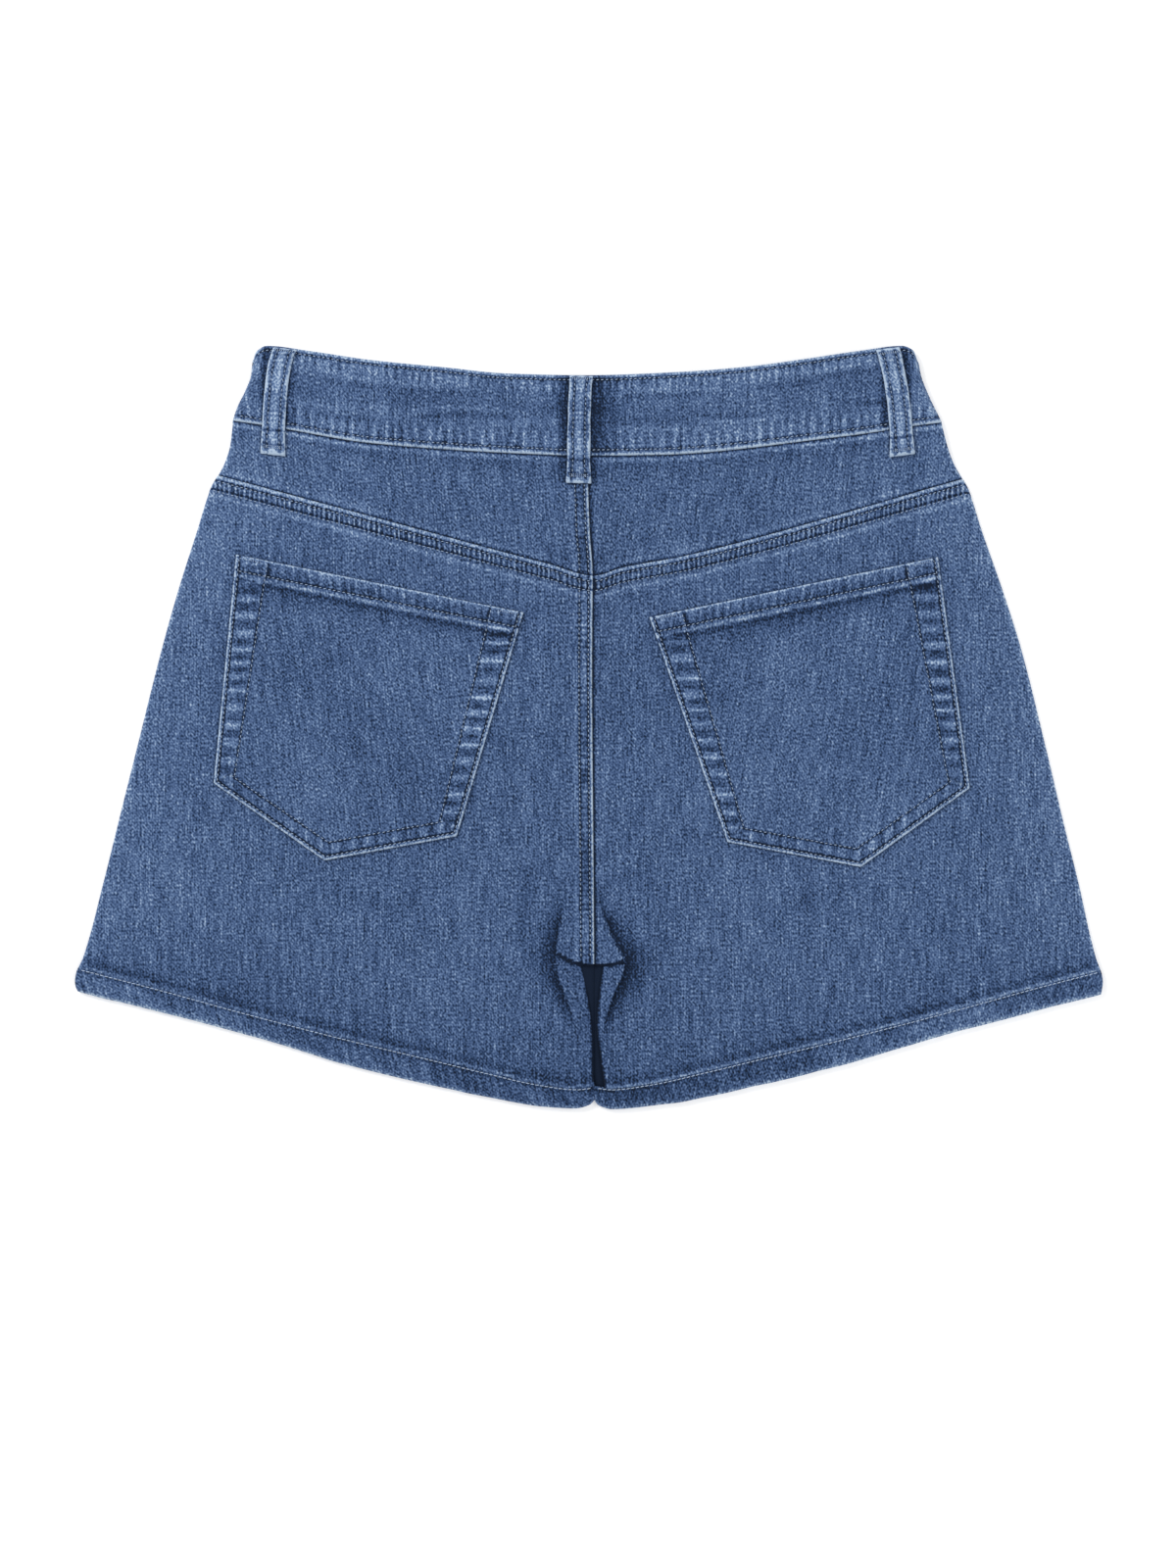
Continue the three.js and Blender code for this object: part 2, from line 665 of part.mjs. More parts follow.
// Closed zip behind the fly: two tapes with the chain, and the slider at its top
function addZip() {
  const tapeLow = (x, y) => frontLow(x, y) + CLOTH + GAP + ZIP_AIR;
  const half = ZIP.chainWidth / 2;
  const edge = half + TURN_EDGE;
  const us = [-ZIP.width / 2, -edge, -half, half, edge, ZIP.width / 2];
  const chainRows = shares(5).map((share) => mix(ZIP.bottom, ZIP.chainTop, share));
  const ys = [...chainRows, ZIP.chainTop + TURN_EDGE, SLIDER.y, ZIP.top];
  sheet('zip_tape', us, ys, (across, y) => {
    const x = ZIP.x + across;
    const chain = Math.abs(across) <= half && y <= ZIP.chainTop ? ZIP.teeth : 0;
    const low = tapeLow(x, y);
    return { x, y, low, high: low + ZIP.tape + chain };
  }, 'tape');
  const sliderLow = tapeLow(ZIP.x, SLIDER.y) + ZIP.tape + GAP + ZIP_AIR;
  sheet('zip_slider', [0, 0.25, 0.75, 1], [0, 0.2, 0.8, 1], (u, v) => {
    const x = ZIP.x + (u - 0.5) * mix(SLIDER.tail, SLIDER.width, v);
    const y = SLIDER.y + (v - 0.5) * SLIDER.length;
    return { x, y, low: sliderLow, high: sliderLow + SLIDER.thickness - rimFall(u, v, 0, 0.5, 0.5) };
  }, 'brass');
}

for (const side of ['left', 'right']) {
  addFrontPanel(side);
  addBackPanel(side);
  addYoke(side);
  addHems(side);
  addPocket(side);
}
addWaistband();
BACK_LOOPS.forEach(addBackLoop);
FRONT_LOOPS.forEach(addFrontLoop);
addButton();
addZip();

export default group;
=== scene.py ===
import math

import bpy
import numpy as np
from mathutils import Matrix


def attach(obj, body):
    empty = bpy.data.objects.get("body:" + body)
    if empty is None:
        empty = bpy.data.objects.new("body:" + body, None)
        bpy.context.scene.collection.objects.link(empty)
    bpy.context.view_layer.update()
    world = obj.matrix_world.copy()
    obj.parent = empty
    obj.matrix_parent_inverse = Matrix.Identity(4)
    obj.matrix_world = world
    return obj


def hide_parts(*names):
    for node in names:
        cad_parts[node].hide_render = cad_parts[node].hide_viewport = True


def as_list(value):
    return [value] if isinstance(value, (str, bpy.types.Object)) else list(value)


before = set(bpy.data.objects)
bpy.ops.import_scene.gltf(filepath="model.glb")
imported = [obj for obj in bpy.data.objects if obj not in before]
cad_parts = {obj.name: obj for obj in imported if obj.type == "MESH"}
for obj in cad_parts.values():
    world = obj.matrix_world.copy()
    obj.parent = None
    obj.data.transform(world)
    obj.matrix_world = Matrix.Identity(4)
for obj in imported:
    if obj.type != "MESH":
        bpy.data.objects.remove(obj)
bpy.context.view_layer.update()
print("Frame loaded with", len(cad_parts), "solids")

# Sizes are in millimetres, in the frame of the solids, and become metres as a mesh is made
millimetre = 0.001

cloth = {"thick": 1.2, "gap": 0.3, "band": 2.6, "hem": 2.4}
centreX = 3.0

# Side seams: y, left x, right x
sideRows = [
    (206, -188.5, 184.5), (198, -189.3, 186), (189, -192.6, 189.3), (180, -197, 193.4),
    (171, -199.8, 197.8), (159, -201.3, 201), (149, -204.4, 204.6), (133, -213, 213.4),
    (111, -220, 220.6), (78, -230.5, 232.1), (45, -239.8, 242.6), (-10, -253.6, 256.4),
    (-54, -264.6, 266.8), (-87, -272.8, 275), (-129, -284, 284.6), (-137, -287.4, 287.4),
    (-143, -288.2, 288.2), (-148, -287.2, 287.6),
]
# Waistband: top edge and lower seam, x and y
bandTopRows = [
    (-188.5, 206), (-186.5, 211), (-181, 214.1), (-156, 211), (-123, 206), (-79, 201.6),
    (-46, 198.3), (-4, 197.2), (54, 199.4), (88, 202.1), (121, 206.5), (154, 211.5),
    (176, 214.1), (181.5, 212), (184.5, 206),
]
bandSeamRows = [
    (-200, 172.6), (-183, 170), (-169, 167.6), (-122, 159.8), (-34, 153.7), (-6, 152.6),
    (38, 153.2), (142, 163.6), (169, 167.5), (182, 169.6), (198, 171.6),
]
yokeSeamRows = [(-210, 142.2), (-23, 91.9), (2.6, 85.2), (19, 89.9), (54, 96.5), (211, 140)]
# Hems by distance out from the centre: stitched line, left edge, right edge
hemRows = [
    (0, -201.4, -208.8, -209), (3, -202, -211.6, -212.2), (10, -202.6, -213.4, -214.2),
    (30, -200.2, -212.4, -212.6), (62, -193, -206.9, -207.6), (95, -185, -200, -200),
    (139, -174.5, -189.2, -189.4), (195, -160.2, -172.2, -173), (245, -146.4, -159.2, -159.8),
    (292, -134.2, -147.6, -147.8),
]
seatSeamRows = [(153, -1), (111, 0.3), (85, 2), (34, 1.7), (-76, 2.5), (-133, 2.9)]
# Gap between the legs: y, left edge, right edge
legGapRows = [(-134, -4.4, 7.7), (-151, -1.1, 5.8), (-168, 1.1, 4.6), (-179, 1.6, 6), (-191, 1.5, 7.6), (-202, 3, 9)]
# Lower edge of the crotch's little tongue: x and y
tongueRows = [(-19, -124.4), (-16, -127), (-6, -131.6), (3, -132.8), (12, -132), (18, -130.6), (21, -130)]
# Folded crests beside the crotch, where the cloth doubles over into shadow: y, left x, right x
crestRows = [
    (-88, -12.6, 3), (-96, -13.4, 5), (-103, -15, 7.2), (-112, -16.4, 11), (-122, -17.9, 15.2), (-128, -18.6, 18.8),
    (-132, -18.5, 20.2), (-138, -17.6, 19), (-145, -15.4, 16.2), (-153, -12.4, 12.9), (-162, -9.4, 9.9),
    (-174, -6.2, 7.4),
]

pocketCorners = {
    "left": [(-198, 97.1), (-36.9, 64.6), (-74.3, -60.8), (-148.5, -74.5), (-210.7, -31.1)],
    "right": [(195.8, 95.7), (34.1, 61.9), (77.8, -64.1), (152.6, -78.1), (213.7, -33.8)],
}


def smooth(low, high, value):
    t = np.clip((np.asarray(value, float) - low) / (high - low), 0, 1)
    return t * t * (3 - 2 * t)


def mix(a, b, share):
    return a + (b - a) * share


def hump(distance, reach):  # 1 in the middle, 0 from its reach on
    return np.cos(np.clip(np.abs(distance) / reach, 0, 1) * math.pi / 2) ** 2


def bell(distance, width):  # 1 in the middle, fading out over about twice its width
    return np.exp(-(distance / width) ** 2)


def mark(line, distance):  # a light or dark line beside a seam: its strength, place and width
    strength, at, width = line
    return strength * bell(distance - at, width)


def lineThrough(rows, give=1):  # a smooth line through a table's rows, with no overshoot
    table = np.array(sorted(rows), float)
    xs, ys = table[:, 0], table[:, give]
    secants = np.diff(ys) / np.diff(xs)
    before = np.concatenate([secants[:1], secants])
    after = np.concatenate([secants, secants[-1:]])
    total = np.where(before + after == 0, 1, before + after)
    slopes = np.where(before * after > 0, 2 * before * after / total, 0)

    def at(value):
        x = np.clip(value, xs[0], xs[-1])
        i = np.clip(np.searchsorted(xs, x, side="right") - 1, 0, len(xs) - 2)
        step = xs[i + 1] - xs[i]
        t = (x - xs[i]) / step
        rise = ys[i] * (1 + 2 * t) * (1 - t) ** 2 + ys[i + 1] * t * t * (3 - 2 * t)
        return rise + step * (slopes[i] * t * (1 - t) ** 2 - slopes[i + 1] * t * t * (1 - t))

    return at


def ripple(s, seed):  # smooth chance along a line, -1 to 1, about one hill or dip for each unit
    knots = np.random.default_rng(seed).uniform(-1, 1, 2048)
    i = np.floor(s).astype(int)
    t = s - i
    t = t * t * (3 - 2 * t)
    return mix(knots[i % 2048], knots[(i + 1) % 2048], t)


def mottle(x, y, seed):  # the same over a plane
    knots = np.random.default_rng(seed).uniform(-1, 1, (128, 128))
    i, j = np.floor(x).astype(int), np.floor(y).astype(int)
    s, t = x - i, y - j
    s, t = s * s * (3 - 2 * s), t * t * (3 - 2 * t)
    low = mix(knots[i % 128, j % 128], knots[(i + 1) % 128, j % 128], s)
    high = mix(knots[i % 128, (j + 1) % 128], knots[(i + 1) % 128, (j + 1) % 128], s)
    return mix(low, high, t)


sideX = {"left": lineThrough(sideRows, 1), "right": lineThrough(sideRows, 2)}
gapX = {"left": lineThrough(legGapRows, 1), "right": lineThrough(legGapRows, 2)}
bandTopY = lineThrough(bandTopRows)
bandSeamY = lineThrough(bandSeamRows)
yokeSeamY = lineThrough(yokeSeamRows)
seatSeamX = lineThrough(seatSeamRows)
tongueY = lineThrough(tongueRows)
hemLine = lineThrough(hemRows, 1)
hemEdge = {"left": lineThrough(hemRows, 2), "right": lineThrough(hemRows, 3)}


def hemLineY(x):
    return hemLine(np.abs(x - centreX))


def frontBandTopY(x):
    return 176 + 30 * (x / 187) ** 2


def frontSeamY(x):
    return 131 + 40 * (x / 199) ** 2


# How the layers lie on each other, as in the solids
layers = {
    "puff": 1.2, "puffReach": 24, "hemReach": 32, "bandReach": 45, "underHem": 0.6, "underBand": 0.7,
    "airAtHem": 1.1, "airAtBand": 0.4, "loopLift": 2.3, "buttonLift": 1.8, "buttonX": -11, "flyX": -8,
    "flyRise": 2.6, "flyReach": 46, "sideRound": 3, "sideDrop": 0.7,
}
# Soft folds of the back that the solids have too: from, to, width, height
bigFolds = [
    (-22, -118, -34, -170, 9, -0.9), (25, -120, 33, -172, 9, -1), (-40, -95, -120, -120, 16, 0.9),
    (44, -96, 118, -124, 16, 0.9), (-232, -60, -170, -130, 20, 0.7), (236, -40, 190, -126, 20, 0.7),
]


def lift(x, y):  # the waist stands on the front loops and the button
    middle = 1 - smooth(112, 186, np.abs(x))
    onButton = layers["buttonLift"] * hump(x - layers["buttonX"], 58)
    return smooth(50, 122, y) * (layers["loopLift"] * middle + onButton)


def nearHem(x, y):
    return 1 - smooth(0, layers["hemReach"], y - hemLineY(x))


def nearFrontBand(x, y):
    return 1 - smooth(2, layers["bandReach"], frontSeamY(x) - y)


def frontLow(x, y):
    return lift(x, y) + layers["underHem"] * nearHem(x, y) + layers["underBand"] * nearFrontBand(x, y)


def fromSide(x, y):
    return np.maximum(np.minimum(x - sideX["left"](y), sideX["right"](y) - x), 0)


def foldHeight(x, y):
    height = 0
    for x0, y0, x1, y1, width, rise in bigFolds:
        dx, dy = x1 - x0, y1 - y0
        length = math.hypot(dx, dy)
        along = ((x - x0) * dx + (y - y0) * dy) / length
        across = ((x - x0) * dy - (y - y0) * dx) / length
        ends = smooth(-width, length / 3, along) * (1 - smooth(length * 0.6, length + width, along))
        height = height + rise * ends * hump(across, width)
    return height


def gapDistance(x, y):
    return np.where(x < centreX, gapX["left"](y) - x, x - gapX["right"](y))


def underTongue(x, y):  # 1 below the tongue's edge and under the crotch
    return smooth(0, 0.9, tongueY(x) - y)


def thighRoll(x, y):
    distance = np.maximum(gapDistance(x, y), 0)
    shoulder = mix(14, 6, smooth(135, 190, -y))
    roll = -1.1 * (1 - smooth(0, shoulder, distance))
    ridge = 0.8 * hump(distance - shoulder, 12)
    return underTongue(x, y) * (1 - 0.6 * smooth(165, 198, -y)) * (roll + ridge)


def backLow(x, y):
    waist, hem = nearFrontBand(x, y), nearHem(x, y)
    below = mix(cloth["thick"] + layers["underHem"] * hem, cloth["band"], waist)
    side = smooth(0, layers["puffReach"], fromSide(x, y))
    thigh = thighRoll(x, y)
    leg = mix((layers["puff"] + foldHeight(x, y)) * side + thigh, layers["airAtHem"] + thigh / 2, hem)
    overZip = smooth(-20, 40, y) * (1 - smooth(118, 150, y))
    fly = layers["flyRise"] * hump(x - layers["flyX"], layers["flyReach"]) * overZip
    air = mix(leg, layers["airAtBand"], waist) + fly
    return lift(x, y) + below + cloth["gap"] + np.maximum(air, 0)


def sideDrop(x, y):
    return layers["sideDrop"] * (1 - np.clip(fromSide(x, y) / layers["sideRound"], 0, 1)) ** 2


def bandLow(x, y):
    return lift(x, y) + cloth["band"] + cloth["gap"]


# Creases of the back that only the finished cloth has, as three points of a curve each:
# width, height, then the tone: worn light on a ridge, painted darker as shade in a dip
creases = [
    {"at": [(-34, -100), (-48, -112), (-70, -118)], "width": 7, "height": 0.45, "wearAndShade": 0.05},
    {"at": [(36, -101), (54, -116), (80, -121)], "width": 7, "height": 0.5, "wearAndShade": 0.05},
    {"at": [(-30, -78), (-36, -98), (-38, -118)], "width": 6, "height": -0.35, "wearAndShade": -0.08},
    {"at": [(30, -80), (38, -102), (42, -126)], "width": 7, "height": -0.4, "wearAndShade": -0.08},
    {"at": [(-250, -40), (-236, -78), (-214, -110)], "width": 12, "height": 0.5, "wearAndShade": 0.04},
    {"at": [(252, -38), (236, -80), (216, -104)], "width": 12, "height": 0.5, "wearAndShade": 0.04},
    {"at": [(-150, -84), (-128, -98), (-92, -104)], "width": 8, "height": -0.4, "wearAndShade": -0.05},
    {"at": [(150, -88), (118, -100), (88, -98)], "width": 8, "height": -0.4, "wearAndShade": -0.05},
    {"at": [(-24, 60), (-30, 20), (-27, -24)], "width": 9, "height": 0.4, "wearAndShade": 0.02},
    {"at": [(26, 58), (32, 14), (30, -30)], "width": 9, "height": 0.4, "wearAndShade": 0.02},
    {"at": [(-222, 70), (-228, 30), (-238, -12)], "width": 8, "height": -0.4, "wearAndShade": -0.04},
    {"at": [(224, 74), (231, 28), (240, -16)], "width": 8, "height": -0.4, "wearAndShade": -0.04},
    {"at": [(-120, -150), (-96, -132), (-86, -108)], "width": 10, "height": 0.4, "wearAndShade": 0.03},
    {"at": [(128, -150), (104, -130), (92, -112)], "width": 10, "height": 0.4, "wearAndShade": 0.03},
]


def curveDistance(x, y, points, steps=28):
    t = np.linspace(0, 1, steps)
    (x0, y0), (x1, y1), (x2, y2) = points
    cx = (1 - t) * (1 - 2 * t) * x0 + 4 * t * (1 - t) * x1 + t * (2 * t - 1) * x2
    cy = (1 - t) * (1 - 2 * t) * y0 + 4 * t * (1 - t) * y1 + t * (2 * t - 1) * y2
    best, share = np.full(np.shape(x), 1e9), np.zeros(np.shape(x))
    for px, py, at in zip(cx, cy, t):
        distance = np.hypot(x - px, y - py)
        nearer = distance < best
        best, share = np.where(nearer, distance, best), np.where(nearer, at, share)
    return best, share


# Beside the crotch folds, dark is painted shade in the trough outside each fold; light is the worn lip of the fold
crest = {
    "x": {"left": lineThrough(crestRows, 1), "right": lineThrough(crestRows, 2)},
    "rise": 0.9, "riseReach": 9, "drop": -1.5, "dark": {"left": -0.40, "right": -0.48}, "light": 0.14,
}


def crestFolds(x, y):  # the folds beside the crotch: an edge that stands up, then a trough outside it painted dark as shade
    height, wearAndShade = np.zeros(np.shape(x)), np.zeros(np.shape(x))
    for side, sign in (("left", -1), ("right", 1)):
        place = crest["x"][side](y)
        lean = (crest["x"][side](y + 1) - crest["x"][side](y - 1)) / 2
        out = sign * (x - place) / np.sqrt(1 + lean ** 2)
        shown = smooth(-90, -112, y) * (1 - smooth(150, 184, -y))
        width = mix(2.2, 9 if side == "right" else 8, hump(y + 134, 46))
        outside = smooth(-0.35, 0.35, out)
        trough = outside * np.exp(-(np.maximum(out, 0) / width) ** 1.4)
        inner = (1 - outside) * bell(np.minimum(out, 0), crest["riseReach"])
        lip = bell(out + 0.5, 0.7)
        half = np.where(sign * (x - centreX) > 0, 1.0, 0.0)
        height += half * shown * (crest["rise"] * inner + crest["drop"] * trough)
        wearAndShade += half * shown * (crest["dark"][side] * trough + crest["light"] * lip * hump(y + 128, 40))
    return height, wearAndShade


def creaseShapes(x, y, listed):  # height, and wear and painted shade, that a list of creases adds
    height, wearAndShade = np.zeros(np.shape(x)), np.zeros(np.shape(x))
    for crease in listed:
        distance, share = curveDistance(x, y, crease["at"])
        shape = hump(distance, crease["width"]) * (0.55 + 0.45 * np.sin(share * math.pi))
        height += crease["height"] * shape
        wearAndShade += crease["wearAndShade"] * shape
    return height, wearAndShade


def creaseField(x, y):  # all that creases and folds add to the back
    height, wearAndShade = creaseShapes(x, y, creases)
    foldHeights, foldWearAndShade = crestFolds(x, y)
    slack = 0.28 * mottle(x / 46 + 9, y / 52 + 5, 11) + 0.12 * mottle(x / 17 + 3, y / 24 + 8, 12)
    return height + foldHeights + slack * smooth(2, 20, fromSide(x, y)), wearAndShade + foldWearAndShade


# Meshes. A surface is a dictionary of its grid's shares, its points and what the cloth shows there.

def gridLines(*stretches):  # shares from 0 to 1 out of stretches of (length, step)
    places = [0.0]
    for length, step in stretches:
        count = max(int(round(length / step)), 1)
        places += [places[-1] + length * (k + 1) / count for k in range(count)]
    places = np.array(places)
    return places / places[-1]


def coons(u, v, top, bottom, outer, inner):  # the patch between four edges
    one, zero = np.ones(1), np.zeros(1)
    sides = mix(top(u), bottom(u), v[..., None]) + mix(outer(v), inner(v), u[..., None])
    flat = mix(
        mix(top(zero), top(one), u[..., None]),
        mix(bottom(zero), bottom(one), u[..., None]),
        v[..., None],
    )
    return sides - flat


def overX(start, end, height):
    def edge(share):
        x = mix(start, end, share)
        return np.stack([x, height(x)], -1)

    return edge


def overY(start, end, place):
    def edge(share):
        y = mix(start, end, share)
        return np.stack([place(y), y], -1)

    return edge


def straight(a, b):
    def edge(share):
        return np.stack([mix(a[0], b[0], share), mix(a[1], b[1], share)], -1)

    return edge


def meetSide(side, height):  # where a line meets the side seam
    x = sideX[side](0.0)
    for _ in range(30):
        x = sideX[side](height(x))
    return x, height(x)


def makeMesh(name, verts, faces, values, material):
    mesh = bpy.data.meshes.new(name)
    mesh.from_pydata((verts * millimetre).tolist(), [], faces)
    kinds = {1: ("FLOAT", "value"), 3: ("FLOAT_VECTOR", "vector"), 4: ("FLOAT_COLOR", "color")}
    for key, value in values.items():
        kind, field = kinds[value.shape[1]]
        layer = mesh.attributes.new(key, kind, "POINT")
        layer.data.foreach_set(field, value.astype(np.float32).ravel())
    mesh.polygons.foreach_set("use_smooth", [True] * len(faces))
    mesh.materials.append(material)
    mesh.update()
    piece = bpy.data.objects.new(name, mesh)
    bpy.context.scene.collection.objects.link(piece)
    return piece


# A closed sheet between two faces, with a rounded rim. Points are a grid of x, y, high; low is a grid.
# Its low face shows plain cloth, or what lowFace says where that face is the garment's outside.
def closeSheet(name, surface, low, material, bulge=0.3):
    points = surface["points"]
    rows, columns = points.shape[:2]
    count = rows * columns
    at = np.arange(count).reshape(rows, columns)
    a, b, c, d = at[:-1, :-1], at[:-1, 1:], at[1:, 1:], at[1:, :-1]
    top = np.stack([a, b, c, d], -1).reshape(-1, 4)
    rim = np.concatenate([at[0], at[1:, -1], at[-1, -2::-1], at[-2:0:-1, 0]])
    ring = points.reshape(-1, 3)[rim]
    lowRing = low.reshape(-1)[rim]
    ahead, behind = np.roll(ring, -1, 0), np.roll(ring, 1, 0)
    area = np.sum(ring[:, 0] * ahead[:, 1] - ahead[:, 0] * ring[:, 1]) / 2
    tangent = (ahead - behind)[:, :2]
    out = np.stack([tangent[:, 1], -tangent[:, 0]], -1) * np.sign(area)
    out /= np.maximum(np.linalg.norm(out, axis=1, keepdims=True), 1e-9)
    thick = ring[:, 2] - lowRing
    middle = np.column_stack([ring[:, :2] + out * (bulge * thick)[:, None], lowRing + 0.52 * thick])
    under = np.concatenate([points[..., :2], low[..., None]], -1).reshape(-1, 3)
    verts = np.concatenate([points.reshape(-1, 3), under, middle])
    n = len(rim)
    here, after = np.arange(n), (np.arange(n) + 1) % n
    mid = 2 * count + here
    midAfter = 2 * count + after
    upper = np.stack([rim[here], mid, midAfter, rim[after]], -1)
    lower = np.stack([mid, rim[here] + count, rim[after] + count, midAfter], -1)
    faces = np.concatenate([top, top[:, ::-1] + count, upper, lower])
    if area < 0:
        faces = faces[:, ::-1]
    values = {}
    none = {"seamA": np.zeros((rows, columns, 3)), "kindA": np.zeros((rows, columns, 4))}
    none.update({"seamB": none["seamA"], "kindB": none["kindA"]})
    kept = {**none, **surface["seams"], "wearAndShade": surface["wearAndShade"], "grain": surface["grain"]}
    lowKept = {**kept, **surface.get("lowFace", {**none, "wearAndShade": 0 * surface["wearAndShade"]})}
    for key, value in kept.items():
        value, lowValue = value.reshape(count, -1), lowKept[key].reshape(count, -1)
        # A rim shift paints the piece's rounded rim darker as contact shade on the cloth around it
        rimValue = value[rim] + (surface.get("rimShade", 0) if key == "wearAndShade" else 0)
        values[key] = np.concatenate([value, lowValue, rimValue])
    return makeMesh(name, verts, faces.tolist(), values, material)


def planArea(points):  # area of a grid's outline, in square metres
    edge = np.concatenate([points[0], points[1:, -1], points[-1, -2::-1], points[-2:0:-1, 0]])
    x, y = edge[:, 0], edge[:, 1]
    return abs(np.sum(x * np.roll(y, -1) - np.roll(x, -1) * y)) / 2 * millimetre ** 2


def onSurface(surface, u, v):  # a place on the finished cloth from its shares
    us, vs, points = surface["us"], surface["vs"], surface["points"]
    i = np.clip(np.searchsorted(us, u, side="right") - 1, 0, len(us) - 2)
    j = np.clip(np.searchsorted(vs, v, side="right") - 1, 0, len(vs) - 2)
    s = ((u - us[i]) / (us[i + 1] - us[i]))[..., None]
    t = ((v - vs[j]) / (vs[j + 1] - vs[j]))[..., None]
    low = mix(points[j, i], points[j, i + 1], s)
    return mix(low, mix(points[j + 1, i], points[j + 1, i + 1], s), t)


# A sewn edge. d is the distance in from the edge, e the distance past the inner row and s the distance along.
# The cloth's material draws the fine puckers, the light fold and the dents of the rows, painting shade in the dents,
# from what this keeps.
def sewnEdge(key, d, e, s, look, share=1.0):
    run = (s + look.get("skew", 0) * d) / look["pitch"] + 40
    strengths = [look["pucker"], look["light"], look.get("outer", 1), look.get("inner", 1)]
    kind = [value * share + 0 * d for value in strengths]
    return {f"seam{key}": np.stack([run, d + 0 * run, e + 0 * run], -1), f"kind{key}": np.stack(kind, -1)}


def roping(d, e, s, look):  # the larger puckers, as height
    rope = ripple(s / look["rope"] + 20, look["seed"])
    window = smooth(0.3, 2, d) * (1 - smooth(-1, 3, e))
    dents = look.get("outer", 1) * bell(d - 2, 0.7) + look.get("inner", 1) * bell(e, 0.7)
    return look["height"] * rope * window - 0.2 * dents


# Materials

def nodeTree(name):
    material = bpy.data.materials.new(name)
    material.use_nodes = True
    nodes = material.node_tree.nodes
    return material, nodes, material.node_tree.links, nodes["Principled BSDF"]


def addMath(nodes, links, operation, a, b=None, c=None):
    node = nodes.new("ShaderNodeMath")
    node.operation = operation
    for socket, value in zip(node.inputs, (a, b, c)):
        if value is None:
            continue
        if isinstance(value, (int, float)):
            socket.default_value = value
        else:
            links.new(value, socket)
    return node.outputs[0]


def addNoise(nodes, links, vector, scale, detail=1.0, rough=0.5):  # scale in hills for each metre
    stretch = nodes.new("ShaderNodeMapping")
    stretch.inputs["Scale"].default_value = scale
    links.new(vector, stretch.inputs["Vector"])
    noise = nodes.new("ShaderNodeTexNoise")
    noise.inputs["Scale"].default_value = 1.0
    noise.inputs["Detail"].default_value = detail
    noise.inputs["Roughness"].default_value = rough
    links.new(stretch.outputs[0], noise.inputs["Vector"])
    return addMath(nodes, links, "SUBTRACT", noise.outputs[0], 0.5)


denim = {
    "warp": 0.00046, "weft": 0.00055, "bend": 0.0002,
    "weftLight": 0.17, "yarnEdgeShade": 0.03, "float": 0.06, "slub": 0.72, "speckle": 1.0, "streak": 0.24,
    "patch": 0.26, "cloud": 0.14,
    "rough": 0.88, "sheen": 0.06, "shift": -0.05,
    "tones": [
        (0.0, (0.0026, 0.0090, 0.0260)), (0.22, (0.0150, 0.0380, 0.1000)), (0.5, (0.0630, 0.1130, 0.2400)),
        (0.75, (0.150, 0.235, 0.400)), (1.0, (0.42, 0.53, 0.67)),
    ],
}


# What one sewn edge shows: tone and height, from the numbers that its cloth keeps
def seamLook(nodes, links, key, wisp):
    place, kind = nodes.new("ShaderNodeAttribute"), nodes.new("ShaderNodeAttribute")
    place.attribute_name, kind.attribute_name = f"seam{key}", f"kind{key}"
    parts, strengths = nodes.new("ShaderNodeSeparateXYZ"), nodes.new("ShaderNodeSeparateColor")
    links.new(place.outputs["Vector"], parts.inputs[0])
    links.new(kind.outputs["Color"], strengths.inputs[0])
    run, d, e = parts.outputs
    pucker, light, outer = strengths.outputs
    inner = kind.outputs["Alpha"]

    def do(operation, a, b=None, c=None):
        return addMath(nodes, links, operation, a, b, c)

    def bellNode(distance, width):
        return do("EXPONENT", do("MULTIPLY", do("POWER", do("ABSOLUTE", do("DIVIDE", distance, width)), 2.0), -1.0))

    def ramp(value, low, high):
        node = nodes.new("ShaderNodeMapRange")
        node.interpolation_type = "SMOOTHSTEP"
        node.inputs["From Min"].default_value, node.inputs["From Max"].default_value = low, high
        links.new(value, node.inputs["Value"])
        return node.outputs[0]

    spot = nodes.new("ShaderNodeCombineXYZ")
    links.new(run, spot.inputs[0])
    links.new(do("MULTIPLY", d, 0.05), spot.inputs[1])
    spot.inputs[2].default_value = wisp
    stray = addNoise(nodes, links, spot.outputs[0], (0.55, 1, 1), 2, 0.5)
    along = addNoise(nodes, links, spot.outputs[0], (0.9, 0.2, 1), 2, 0.6)
    wave = do("COSINE", do("MULTIPLY", do("MULTIPLY_ADD", stray, 1.1, run), 2 * math.pi))
    ticks = do("POWER", do("MULTIPLY_ADD", wave, 0.5, 0.5), 1.6)  # light ridges with darker dips between
    ticks = do("MULTIPLY", do("SUBTRACT", ticks, 0.42), do("MULTIPLY_ADD", along, 2.4, 1.0))
    window = do("MULTIPLY", ramp(d, 0.8, 2.4), do("SUBTRACT", 1.0, ramp(e, -1.2, 2.6)))
    roll = do("MULTIPLY", do("MULTIPLY", ticks, window), pucker)
    fold = do("MULTIPLY", bellNode(do("MAXIMUM", do("SUBTRACT", d, 0.25), 0.0), 0.85), light)
    fold = do("MULTIPLY", fold, do("MULTIPLY_ADD", along, 0.9, 1.0))
    # The rows' dents are painted darker as shade
    rows = do("MULTIPLY", bellNode(do("SUBTRACT", d, 2.25), 0.7), outer)
    rows = do("ADD", rows, do("MULTIPLY", bellNode(do("ADD", e, 0.25), 0.7), inner))
    tone = do("MULTIPLY_ADD", rows, -0.47, do("ADD", roll, fold))
    height = do("MULTIPLY_ADD", rows, -0.00016, do("MULTIPLY", roll, 0.0009))
    return tone, height


